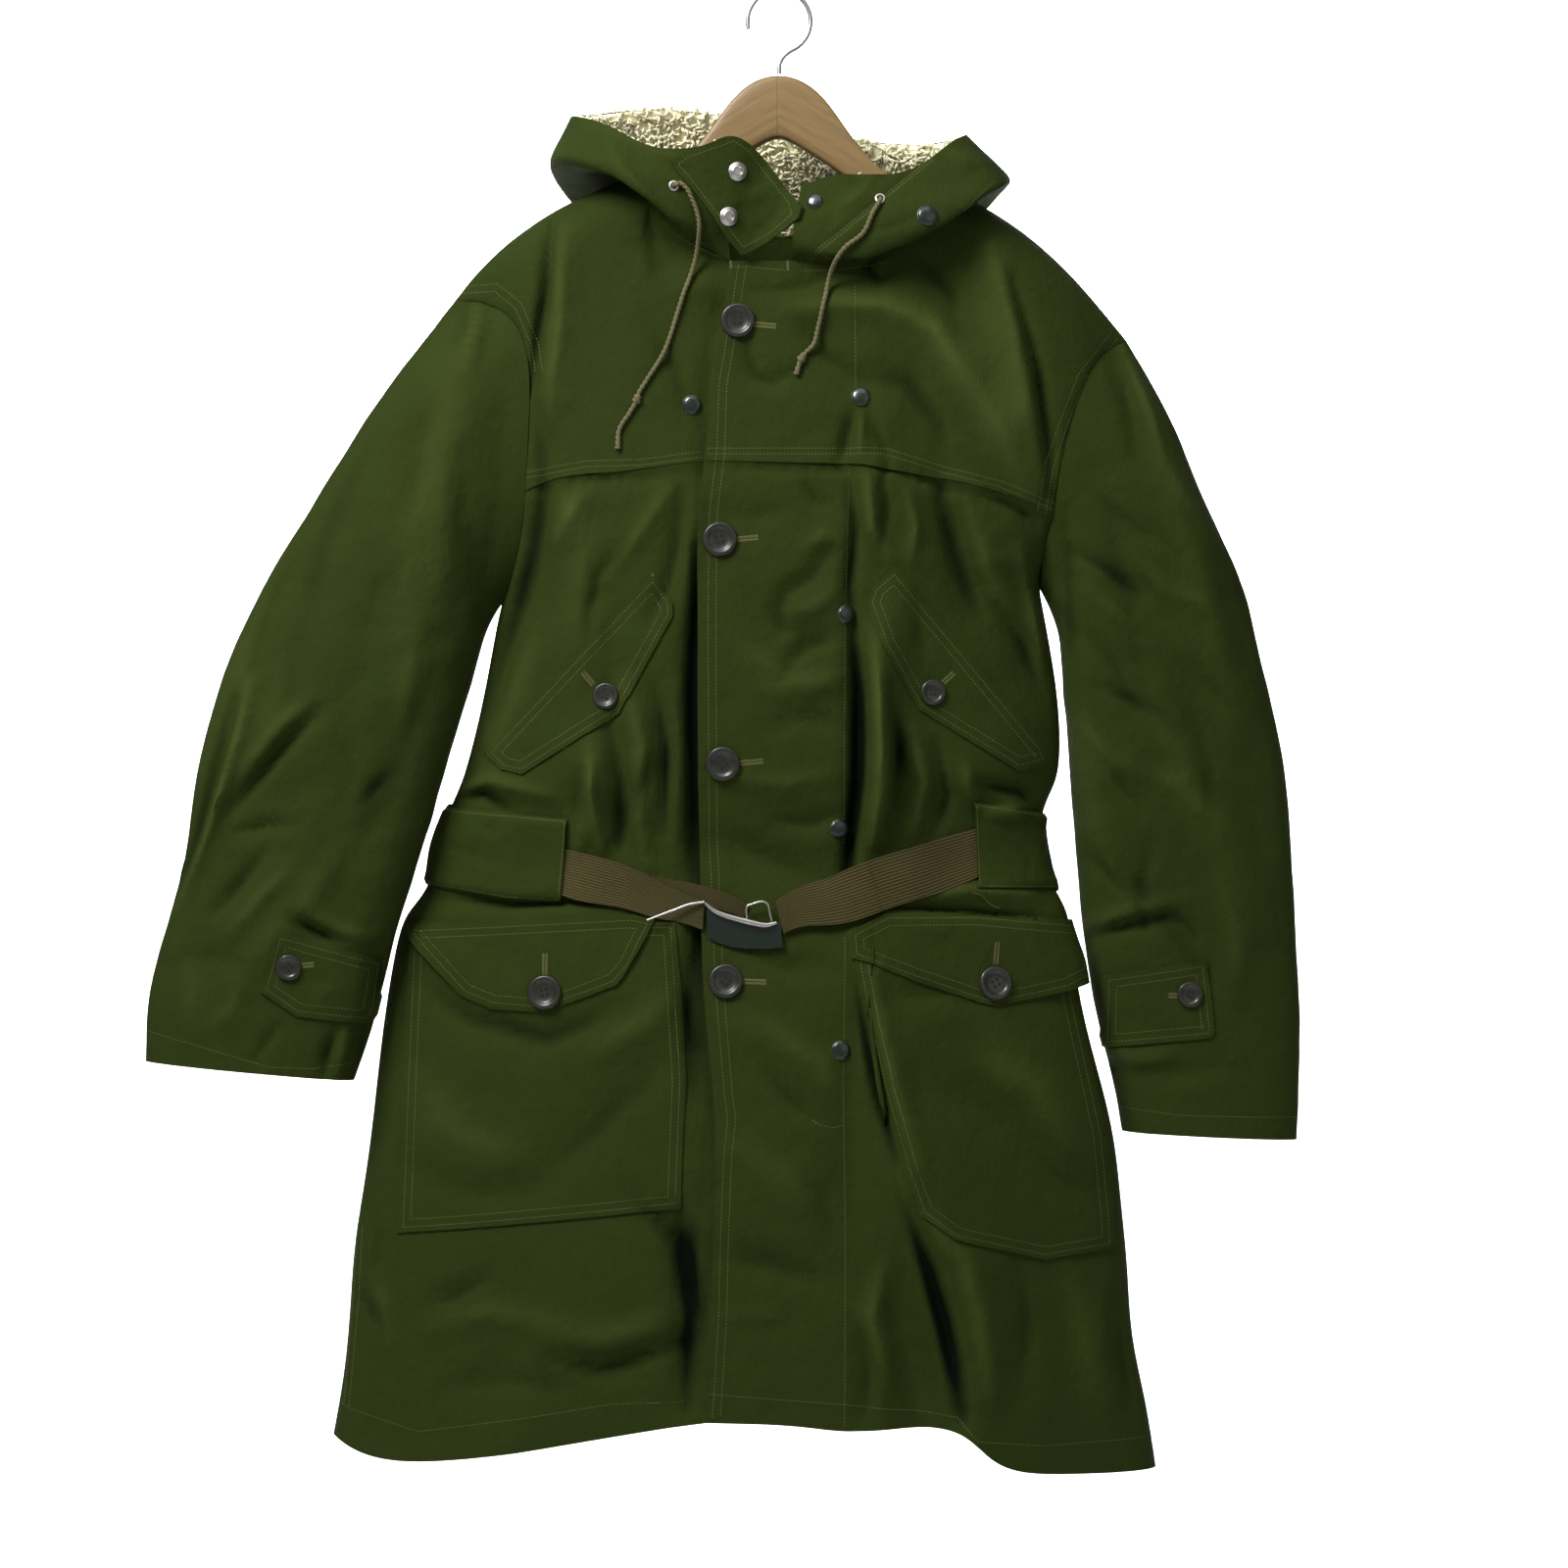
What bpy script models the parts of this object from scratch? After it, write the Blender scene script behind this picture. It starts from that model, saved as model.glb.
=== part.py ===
"""Field parka of green cotton with a pile-lined hood, hanging on a wooden hanger.

The origin is where a rail carries the hanger's hook. +Z is up and the front faces -Y, so the
wearer's right is at -X. Tables are in millimetres; a drop is a distance below the origin.
"""

import math
from collections import namedtuple

import bmesh
import bpy
import numpy as np
from mathutils import Vector
from mathutils.bvhtree import BVHTree

MM = 0.001
SHELL = 1.8  # the parka's cloth, two thin layers
GAP = 0.3  # between two pieces at a seam
PATCH = 1.5  # flaps, pockets and straps
PILE = 8.0  # the hood's pile, to the tips of the tufts

GREEN = ("cloth", (0.052, 0.062, 0.014), 0.85, 0.0)
CREAM = ("pile", (0.62, 0.57, 0.35), 0.95, 0.0)
KHAKI = ("webbing", (0.115, 0.085, 0.028), 0.8, 0.0)
TWINE = ("drawstring", (0.20, 0.17, 0.085), 0.85, 0.0)
HORN = ("button", (0.035, 0.032, 0.026), 0.35, 0.0)
PAINT = ("snap_paint", (0.008, 0.022, 0.014), 0.3, 0.0)
STEEL = ("steel", (0.62, 0.6, 0.56), 0.28, 1.0)
WOOD = ("wood", (0.42, 0.25, 0.10), 0.5, 0.0)

for old in list(bpy.data.objects):
    bpy.data.objects.remove(old, do_unlink=True)
PARKA = bpy.data.collections.new("field_parka")
bpy.context.scene.collection.children.link(PARKA)


def finish_of(kind):
    """The Principled material of one finish, made once."""
    name, colour, roughness, metallic = kind
    material = bpy.data.materials.get(name)
    if material is None:
        material = bpy.data.materials.new(name)
        material.use_nodes = True
        shader = material.node_tree.nodes["Principled BSDF"]
        shader.inputs["Base Color"].default_value = (*colour, 1.0)
        shader.inputs["Roughness"].default_value = roughness
        shader.inputs["Metallic"].default_value = metallic
    return material


def add_object(name, data, kind):
    piece = bpy.data.objects.new(name, data)
    data.materials.append(finish_of(kind))
    PARKA.objects.link(piece)
    return piece


def cloth(name, faces, outer, inner, kind=GREEN):
    """A closed wall between two sheets of points that share one list of faces."""
    count = len(outer)
    used = {(a, b) for face in faces for a, b in zip(face, face[1:] + face[:1])}
    walls = [list(face) for face in faces]
    walls += [[i + count for i in reversed(face)] for face in faces]
    walls += [[b, a, a + count, b + count] for a, b in used if (b, a) not in used]
    mesh = bpy.data.meshes.new(name)
    mesh.from_pydata((np.vstack([outer, inner]) * MM).tolist(), [], walls)
    body = bmesh.new()
    body.from_mesh(mesh)
    loose = [v for v in body.verts if not v.link_faces]
    bmesh.ops.delete(body, geom=loose, context="VERTS")
    bmesh.ops.recalc_face_normals(body, faces=body.faces)
    body.to_mesh(mesh)
    body.free()
    return add_object(name, mesh, kind)


# Lines and grids of the cut


def smooth_line(points, fractions):
    """Points at fractions of the way along a smooth line through the given points."""
    knots = np.array(points, float)
    steps = np.linalg.norm(np.diff(knots, axis=0), axis=1)
    along = np.concatenate([[0.0], np.cumsum(steps)]) / steps.sum()
    slopes = np.gradient(knots, along, axis=0)
    found = []
    for f in fractions:
        i = min(int(np.searchsorted(along, f, side="right")) - 1, len(steps) - 1)
        i = max(i, 0)
        width = along[i + 1] - along[i]
        s = (f - along[i]) / width
        found.append(
            (2 * s**3 - 3 * s**2 + 1) * knots[i]
            + (s**3 - 2 * s**2 + s) * width * slopes[i]
            + (3 * s**2 - 2 * s**3) * knots[i + 1]
            + (s**3 - s**2) * width * slopes[i + 1]
        )
    return np.array(found)


def between(bottom, top, left, right, us, ts):
    """The grid between four border lines, rows from bottom to top."""
    b, t = smooth_line(bottom, us), smooth_line(top, us)
    l, r = smooth_line(left, ts), smooth_line(right, ts)
    u, v = np.array(us)[None, :, None], np.array(ts)[:, None, None]
    corners = (1 - u) * (1 - v) * b[0] + u * (1 - v) * b[-1] + (1 - u) * v * t[0] + u * v * t[-1]
    return (1 - v) * b[None] + v * t[None] + (1 - u) * l[:, None] + u * r[:, None] - corners


# Upright lines of the cut, from the hem up: hem to armpit, armpit to yoke seam, yoke.
Upright = namedtuple("Upright", "skirt chest yoke")
SIDE_RIGHT = [
    (-368, 1190), (-358, 1130), (-350, 1030), (-339, 960), (-330, 880), (-320, 810),
    (-312, 772), (-300, 752), (-289, 735), (-284, 705), (-272, 675), (-258, 640),
    (-244, 580), (-230, 508),
]
SIDE_LEFT = [
    (311, 1217), (306, 1182), (292, 1112), (286, 1078), (288, 1046), (281, 990),
    (273, 926), (258, 872), (243, 802), (237, 758), (225, 734), (219, 710),
    (216, 686), (223, 662), (232, 636), (228, 573), (221, 525), (215, 494),
]
FRONT_LINES = {
    "side_right": Upright(
        SIDE_RIGHT,
        [(-230, 508), (-214, 462), (-208, 414)],
        [(-208, 414), (-204, 334), (-207, 298), (-217, 275), (-240, 259), (-268, 255)],
    ),
    "neck_right": Upright(
        [(-222, 1196), (-206, 1000), (-178, 800), (-158, 700), (-142, 508)],
        [(-142, 508), (-134, 400)],
        [(-134, 400), (-122, 270), (-104, 146)],
    ),
    "placket": Upright(
        [(-58, 1169), (-54, 1054), (-51, 974), (-54, 894), (-60, 838), (-64, 734), (-66, 614), (-66, 508)],
        [(-66, 508), (-66, 462), (-61, 391)],
        [(-61, 391), (-54, 334), (-46, 278), (-40, 228)],
    ),
    "under_edge": Upright(
        [(54, 1176), (54, 1054), (58, 894), (52, 766), (50, 694), (54, 504)],
        [(54, 504), (57, 462), (62, 394)],
        [(62, 394), (66, 339), (60, 228)],
    ),
    "neck_left": Upright(
        [(170, 1198), (144, 1134), (104, 1002), (78, 860), (78, 780), (92, 700), (108, 600), (118, 500)],
        [(118, 500), (124, 404)],
        [(124, 404), (118, 270), (108, 150)],
    ),
    "side_left": Upright(
        SIDE_LEFT,
        [(215, 494), (217, 462), (224, 434)],
        [(224, 434), (227, 413), (233, 378), (244, 341), (258, 311), (271, 296), (287, 288)],
    ),
}
BACK_LINES = {
    "side_right": Upright(
        SIDE_RIGHT,
        [(-230, 508), (-218, 455), (-214, 410)],
        [(-214, 410), (-222, 340), (-242, 285), (-268, 255)],
    ),
    "neck_right": Upright(
        [(-190, 1190), (-165, 900), (-140, 700), (-128, 508)],
        [(-128, 508), (-120, 405)],
        [(-120, 405), (-112, 270), (-104, 146)],
    ),
    "neck_left": Upright(
        [(150, 1196), (140, 900), (120, 700), (114, 500)],
        [(114, 500), (112, 405)],
        [(112, 405), (110, 270), (108, 150)],
    ),
    "side_left": Upright(
        SIDE_LEFT,
        [(215, 494), (210, 455), (212, 420)],
        [(212, 420), (226, 350), (252, 306), (287, 288)],
    ),
}

# Points of the cross lines between two uprights, one list for each zone from right to left.
Cross = namedtuple("Cross", "hem armpit seam top")
SHOULDER_RIGHT = [(-240, 222), (-225, 209), (-190, 183), (-140, 160)]
SHOULDER_LEFT = [(150, 167), (190, 190), (225, 218), (257, 252)]
FRONT_CROSSES = [
    Cross([(-337, 1203), (-300, 1205), (-262, 1202)], [], [(-188, 406), (-156, 401)], SHOULDER_RIGHT),
    Cross([(-140, 1182)], [], [], [(-98, 182), (-80, 214)]),
    Cross([(4, 1171)], [], [], []),
    Cross([(90, 1175), (140, 1178), (160, 1184)], [], [], [(84, 196), (100, 166)]),
    Cross([(184, 1206), (244, 1215)], [], [(144, 407), (172, 414), (204, 424)], SHOULDER_LEFT),
]
BACK_CROSSES = [
    Cross([(-300, 1197)], [], [], SHOULDER_RIGHT),
    Cross([(-58, 1186), (80, 1187)], [], [], [(-62, 184), (0, 198), (64, 186)]),
    Cross([(240, 1208)], [], [], SHOULDER_LEFT),
]

# Rows: the pocket mouths and the waist get more of them than the plain stretches.
SKIRT_ROWS = np.concatenate(
    [np.linspace(0, 0.60, 9)[:-1], np.linspace(0.60, 0.80, 7)[:-1], np.linspace(0.80, 1, 4)]
)
CHEST_ROWS = np.linspace(0, 1, 4)
YOKE_ROWS = np.array([0, 0.18, 0.37, 0.56, 0.73, 0.87, 0.96, 1])
TO_SIDE = np.sin(np.linspace(0, 1, 7) * math.pi / 2) ** 1.2
FROM_SIDE = 1 - TO_SIDE[::-1]
NECK_COLUMNS = [np.array([0, 0.15, 0.5, 1]), np.linspace(0, 1, 5), np.array([0, 0.27, 0.52, 0.76, 1])]
FRONT_COLUMNS = [FROM_SIDE, *NECK_COLUMNS, TO_SIDE]
BACK_TO_SIDE = np.sin(np.linspace(0, 1, 6) * math.pi / 2) ** 1.2
BACK_NECK_COLUMNS = np.array([0, 0.1, 0.3, 0.5, 0.7, 0.9, 1])
BACK_COLUMNS = [1 - BACK_TO_SIDE[::-1], BACK_NECK_COLUMNS, BACK_TO_SIDE]


def cut_grid(lines, crosses, columns):
    """The whole front or back, flat: (x, drop) by row and column, with rows from the hem up."""
    uprights = list(lines.values())
    bands = (("skirt", SKIRT_ROWS, "hem", "armpit"), ("chest", CHEST_ROWS, "armpit", "seam"),
             ("yoke", YOKE_ROWS, "seam", "top"))
    grid = []
    for band, rows, low, high in bands:
        zones = []
        for zone, (cross, us) in enumerate(zip(crosses, columns)):
            left = getattr(uprights[zone], band)
            right = getattr(uprights[zone + 1], band)
            bottom = [left[0], *getattr(cross, low), right[0]]
            top = [left[-1], *getattr(cross, high), right[-1]]
            patch = between(bottom, top, left, right, us, rows)
            zones.append(patch if zone == 0 else patch[:, 1:])
        whole = np.concatenate(zones, axis=1)
        grid.append(whole if band == "skirt" else whole[1:])
    return np.concatenate(grid, axis=0)


SEAM_ROW = len(SKIRT_ROWS) + len(CHEST_ROWS) - 2
ARMPIT_ROW = len(SKIRT_ROWS) - 1
PLACKET_COLUMN = sum(len(c) - 1 for c in FRONT_COLUMNS[:2])
UNDER_COLUMN = PLACKET_COLUMN + len(FRONT_COLUMNS[2]) - 1

# How the hanging cloth stands off the plane of the side seams

Depth = namedtuple("Depth", "drop front back")
DEPTHS = [
    Depth(150, 44, 40), Depth(230, 50, 46), Depth(330, 56, 52), Depth(420, 60, 55),
    Depth(520, 62, 56), Depth(620, 60, 52), Depth(670, 52, 45), Depth(712, 45, 38),
    Depth(760, 54, 46), Depth(850, 64, 56), Depth(1000, 72, 64), Depth(1220, 84, 78),
]
ARMHOLE_DEPTH = 38.0
SHOULDER_ROLL = 38.0
NECK_FRONT = 50.0
NECK_BACK = 42.0

# Folds of the hanging cloth: a ridge (height over 0) or trough, with its own width to either side.
Fold = namedtuple("Fold", "x0 drop0 x1 drop1 left right height")
FRONT_FOLDS = [
    Fold(-190, 190, -200, 300, 40, 9, 13),  # shoulder cloth over the right armhole
    Fold(140, 215, 214, 415, 12, 14, -10),  # drag line from the hood to the left armhole
    Fold(186, 262, 200, 370, 18, 16, 9),
    Fold(84, 350, 70, 470, 16, 16, 6),
    Fold(90, 500, 64, 680, 9, 26, 13),  # cloth pushed up beside the fly
    Fold(62, 770, 106, 1002, 17, 60, 17),  # skirt fold that carries the left pocket
    Fold(106, 1002, 170, 1200, 17, 60, 19),
    Fold(46, 840, 62, 1040, 16, 16, -8),  # the hollow beside it
    Fold(84, 1050, 126, 1200, 16, 16, -20),
    Fold(-150, 430, -118, 640, 16, 20, -7),
    Fold(150, 440, 190, 560, 14, 18, -8),
    Fold(-225, 640, -120, 655, 14, 16, 7),  # cloth bloused over the casing
    Fold(120, 640, 205, 650, 14, 16, 7),
    Fold(-290, 880, -330, 1190, 16, 20, -8),
    Fold(-150, 1050, -215, 1195, 26, 30, 9),
    Fold(232, 1060, 262, 1210, 18, 22, -9),
]
UNDER_FOLDS = [
    Fold(-110, 196, -40, 290, 13, 13, -13),  # drag line from the hood down to the fly
    Fold(-74, 300, -82, 395, 12, 10, -9),
    Fold(-80, 500, -78, 740, 13, 9, -15),
    Fold(-72, 760, -70, 900, 10, 8, -9),
    Fold(-68, 930, -80, 1180, 16, 12, -24),
]
BACK_FOLDS = [
    Fold(-150, 260, -120, 480, 22, 22, 7), Fold(120, 270, 100, 500, 22, 22, 7),
    Fold(-60, 470, -50, 660, 16, 16, -7), Fold(70, 480, 60, 670, 16, 16, -8),
    Fold(-160, 760, -215, 1195, 24, 24, -14), Fold(-50, 770, -60, 1190, 26, 26, 10),
    Fold(70, 760, 80, 1190, 20, 20, -13), Fold(170, 780, 215, 1200, 24, 24, 10),
]


def fold_height(x, drop, folds):
    """The sum of the folds at a point: each is widest at its line and dies out past its ends."""
    total = 0.0
    for fold in folds:
        along = np.array([fold.x1 - fold.x0, fold.drop1 - fold.drop0], float)
        offset = np.array([x - fold.x0, drop - fold.drop0])
        share = min(1.0, max(0.0, offset @ along / (along @ along)))
        miss = offset - share * along
        to_right = offset[0] * along[1] - offset[1] * along[0] > 0
        width = fold.right if to_right else fold.left
        swell = 0.45 + 0.55 * math.sin(math.pi * (0.12 + 0.76 * share))
        total += fold.height * swell * math.exp(-(miss @ miss) / width**2)
    return total


def roll_over(distance, radius):
    """0 at a folded edge, rising to 1 as a quarter circle does."""
    s = min(1.0, max(0.0, distance / radius))
    return math.sqrt(1 - (1 - s) ** 2)


def stand_off(flat, folds, neck_columns, neck_depth, which):
    """How far the sheet stands off the side seams' plane at every point of its grid."""
    rows, columns = flat.shape[:2]
    drops = [d.drop for d in DEPTHS]
    mids = [getattr(d, which) for d in DEPTHS]
    first, last = neck_columns
    depth = np.zeros((rows, columns))
    for row in range(rows):
        climbed = max(0, row - ARMPIT_ROW) / (rows - 1 - ARMPIT_ROW)
        edge = ARMHOLE_DEPTH * math.sin(math.pi * climbed) ** 0.8 if row > ARMPIT_ROW else 0.0
        edge = 0.0 if row == rows - 1 else edge
        left, right = flat[row, 0, 0], flat[row, -1, 0]
        for column in range(columns):
            x, drop = flat[row, column]
            across = min(1.0, abs(2 * (x - left) / (right - left) - 1))
            crown = (1 - across**2.6) ** 0.6
            middle = float(np.interp(drop, drops, mids))
            body = edge + (middle - edge) * crown
            body += crown * fold_height(x, drop, folds)
            inside = first < column < last
            shoulder = np.interp(column, [first, last], [flat[-1, first, 1], flat[-1, last, 1]])
            top = neck_depth * roll_over(flat[-1, column, 1] - shoulder, SHOULDER_ROLL) if inside else 0.0
            below = drop - flat[-1, column, 1]
            depth[row, column] = top + (body - top) * roll_over(below, SHOULDER_ROLL)
    return depth


def cell_normals(points):
    """Unit normals at a grid's points: each is the mean of those of the cells around it."""
    rising = points[1:, 1:] - points[:-1, :-1]
    falling = points[1:, :-1] - points[:-1, 1:]
    cells = np.cross(rising, falling)
    cells /= np.linalg.norm(cells, axis=2, keepdims=True)
    normals = np.zeros(points.shape)
    for down in (0, 1):
        for right in (0, 1):
            rows, columns = cells.shape[:2]
            normals[down:rows + down, right:columns + right] += cells
    return normals / np.linalg.norm(normals, axis=2, keepdims=True)


def sheet_normals(points, towards):
    """Those normals, all turned to one side."""
    normals = cell_normals(points)
    return normals * np.where(normals @ towards < 0, -1.0, 1.0)[..., None]


def hung_sheet(lines, crosses, columns, folds, neck_columns, neck_depth, which, sign):
    """Outer points and normals of the whole front (sign -1) or back (sign 1)."""
    flat = cut_grid(lines, crosses, columns)
    depth = np.maximum(stand_off(flat, folds, neck_columns, neck_depth, which), GAP / 2)
    points = np.stack([flat[..., 0], sign * depth, -flat[..., 1]], axis=2)
    normals = sheet_normals(points, np.array([0.0, sign, 0.001]))
    normals[: ARMPIT_ROW + 1, 0] = (-1, 0, 0)
    normals[: ARMPIT_ROW + 1, -1] = (1, 0, 0)
    first, last = neck_columns
    for column in [*range(first + 1), *range(last, points.shape[1])]:
        before, after = max(column - 1, 0), min(column + 1, points.shape[1] - 1)
        after = first if column == first else after
        before = last if column == last else before
        here = points[-1, after] - points[-1, before]
        upward = np.array([-here[2], 0.0, here[0]])
        normals[-1, column] = upward / np.linalg.norm(upward)
    for column in (first + 1, last - 1):
        normals[-1, column] += (0.0, 0.0, 0.7)
        normals[-1, column] /= np.linalg.norm(normals[-1, column])
    rows = points.shape[0]
    for row in range(ARMPIT_ROW, rows):
        turn = math.pi * (row - ARMPIT_ROW) / (rows - 1 - ARMPIT_ROW)
        for column in (0, -1):
            under = 0.7 * max(math.cos(turn), 0.0)
            facing = np.array([under if column else -under, sign * math.sin(turn), -under])
            facing += max(-math.cos(turn), 0.0) * normals[-1, column]
            normals[row, column] = facing / np.linalg.norm(facing)
    return points, normals


def grid_faces(rows, columns):
    """Two triangles for each cell, always split the same way."""
    faces = []
    for r in range(rows - 1):
        for c in range(columns - 1):
            a, b = r * columns + c, r * columns + c + 1
            faces += [[a, b, b + columns], [a, b + columns, a + columns]]
    return faces


class Surface:
    """The outer points, normals and faces of a cut piece, for what is sewn on it."""

    def __init__(self, points, normals, faces, all_faces):
        self.outer, self.normals, self.faces = points, normals, faces
        self.tree = BVHTree.FromPolygons((points * MM).tolist(), all_faces)

    def patch(self, name, outline, low=GAP, high=GAP + PATCH, kind=GREEN):
        """A piece cut from this panel's own faces to a convex outline, moved out from it.

        low and high are the piece's inner and outer lift, each a number or a function of (x, drop).
        """
        corners = np.array(outline, float)
        turn = np.roll(corners, -1, axis=0) - corners
        after = np.roll(corners, -1, axis=0)
        area = np.sum(corners[:, 0] * after[:, 1] - after[:, 0] * corners[:, 1])
        kept, index, faces = [], {}, []
        for face in self.faces:
            shape = [np.concatenate([self.outer[i], self.normals[i]]) for i in face]
            for corner, edge in zip(corners, turn):
                shape = clip(shape, corner, edge, area > 0)
            ring = []
            for point in shape:
                key = tuple(np.round(point[:3] / 0.05).astype(int))
                if key not in index:
                    index[key] = len(kept)
                    kept.append(point)
                if not ring or ring[-1] != index[key]:
                    ring.append(index[key])
            if len(ring) > 1 and ring[0] == ring[-1]:
                ring.pop()
            if len(set(ring)) > 2:
                faces.append(ring)
        kept = np.array(kept)
        place = [(p[0], -p[2]) for p in kept]
        lifts = [
            np.array([lift(*at) if callable(lift) else lift for at in place])[:, None]
            for lift in (low, high)
        ]
        outer = kept[:, :3] + kept[:, 3:] * lifts[1]
        cloth(name, faces, outer, kept[:, :3] + kept[:, 3:] * lifts[0], kind)
        return BVHTree.FromPolygons((outer * MM).tolist(), faces)


class Panel(Surface):
    """A cut piece of a hung sheet, with its own wall."""

    def __init__(self, name, points, normals, loose_bottom=0.0, loose_top=0.0):
        points = points.copy()
        for row, inner, pull in ((0, 1, loose_bottom), (-1, -2, loose_top)):
            if pull:
                step = points[inner] - points[row]
                points[row] += step * (pull / np.linalg.norm(step, axis=1, keepdims=True))
        faces = grid_faces(*points.shape[:2])
        super().__init__(points.reshape(-1, 3), normals.reshape(-1, 3), faces, faces)
        cloth(name, faces, self.outer, self.outer - SHELL * self.normals)


def clip(shape, corner, edge, inside_left):
    """The part of a polygon on one side of a line in the front view."""
    def side(point):
        turn = edge[0] * (-point[2] - corner[1]) - edge[1] * (point[0] - corner[0])
        return turn if inside_left else -turn

    kept = []
    for here, after in zip(shape, shape[1:] + shape[:1]):
        a, b = side(here), side(after)
        if a >= 0:
            kept.append(here)
        if a * b < 0:
            kept.append(here + (after - here) * (a / (a - b)))
    return kept


# Body panels

FRONT, FRONT_NORMALS = hung_sheet(
    FRONT_LINES, FRONT_CROSSES, FRONT_COLUMNS, FRONT_FOLDS,
    (len(FRONT_COLUMNS[0]) - 1, sum(len(c) - 1 for c in FRONT_COLUMNS[:4])), NECK_FRONT, "front", -1.0,
)
BACK, BACK_NORMALS = hung_sheet(
    BACK_LINES, BACK_CROSSES, BACK_COLUMNS, BACK_FOLDS,
    (len(BACK_COLUMNS[0]) - 1, sum(len(c) - 1 for c in BACK_COLUMNS[:2])), NECK_BACK, "back", 1.0,
)


def under_front():
    """The right front lies under the fly, and its own troughs only take it further back."""
    points = FRONT[:, : UNDER_COLUMN + 1].copy()
    for row in range(points.shape[0] - 1):
        for column in range(1, points.shape[1]):
            x, y, z = points[row, column]
            points[row, column, 1] = min(y - fold_height(x, -z, UNDER_FOLDS), -GAP / 2)
    normals = FRONT_NORMALS[:, : UNDER_COLUMN + 1].copy()
    inside = sheet_normals(points, np.array([0.0, -1.0, 0.001]))
    normals[1:-1, 1:] = inside[1:-1, 1:]
    return points, normals


def over_front():
    """The left front is lifted over the other by its wall, and comes down to the side seam."""
    points = FRONT[:, PLACKET_COLUMN:].copy()
    normals = FRONT_NORMALS[:, PLACKET_COLUMN:]
    laps = UNDER_COLUMN - PLACKET_COLUMN
    for column in range(points.shape[1]):
        share = min(1.0, max(0.0, 1 - (column - laps - 1) / 3))
        lift = np.array([0.0, -(SHELL + 3 * GAP) * share, 0.0])
        points[:, column] += lift
    return points, normals


RIGHT, RIGHT_NORMALS = under_front()
LEFT, LEFT_NORMALS = over_front()
HALF = GAP / 2
front_right = Panel("front_right", RIGHT[: SEAM_ROW + 1], RIGHT_NORMALS[: SEAM_ROW + 1], loose_top=HALF)
yoke_right = Panel("yoke_right", RIGHT[SEAM_ROW:], RIGHT_NORMALS[SEAM_ROW:], loose_bottom=HALF)
front_left = Panel("front_left", LEFT[: SEAM_ROW + 1], LEFT_NORMALS[: SEAM_ROW + 1], loose_top=HALF)
yoke_left = Panel("yoke_left", LEFT[SEAM_ROW:], LEFT_NORMALS[SEAM_ROW:], loose_bottom=HALF)
back = Panel("back", BACK[:, ::-1], BACK_NORMALS[:, ::-1])

# Sleeves

Ring = namedtuple("Ring", "outer_x outer_drop inner_x inner_drop centre_y half_depth")
SLEEVE_RIGHT = [
    Ring(-315, 318, -240, 530, -6, 44), Ring(-357, 382, -250, 566, -14, 46),
    Ring(-400, 455, -261, 604, -20, 46), Ring(-437, 520, -272, 644, -24, 45),
    Ring(-462, 590, -283, 684, -28, 43), Ring(-480, 665, -297, 727, -30, 41),
    Ring(-491, 745, -313, 780, -31, 38), Ring(-512, 800, -322, 822, -31, 36),
    Ring(-517, 850, -334, 862, -30, 35), Ring(-518, 880, -346, 896, -30, 35),
]
SLEEVE_LEFT = [
    Ring(306, 318, 226, 516, 4, 42), Ring(330, 368, 232, 556, 8, 45),
    Ring(355, 424, 236, 600, 12, 46), Ring(383, 486, 240, 648, 15, 45),
    Ring(400, 555, 243, 690, 18, 43), Ring(419, 632, 247, 740, 22, 41),
    Ring(426, 725, 254, 800, 26, 38), Ring(432, 815, 266, 862, 30, 36),
    Ring(433, 890, 279, 912, 32, 35), Ring(431, 949, 284, 942, 32, 35),
]
RINGS_BETWEEN = 13
Crease = namedtuple("Crease", "x0 drop0 x1 drop1 width height")
CREASES_RIGHT = [
    Crease(-455, 600, -482, 740, 16, 5), Crease(-440, 690, -360, 640, 14, -5),
    Crease(-400, 690, -330, 700, 12, -4), Crease(-300, 300, -330, 420, 16, 4),
]
CREASES_LEFT = [
    Crease(300, 330, 345, 520, 14, 5), Crease(300, 480, 350, 560, 12, -5),
    Crease(330, 600, 400, 700, 16, -5), Crease(280, 640, 320, 760, 14, 4),
]


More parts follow.
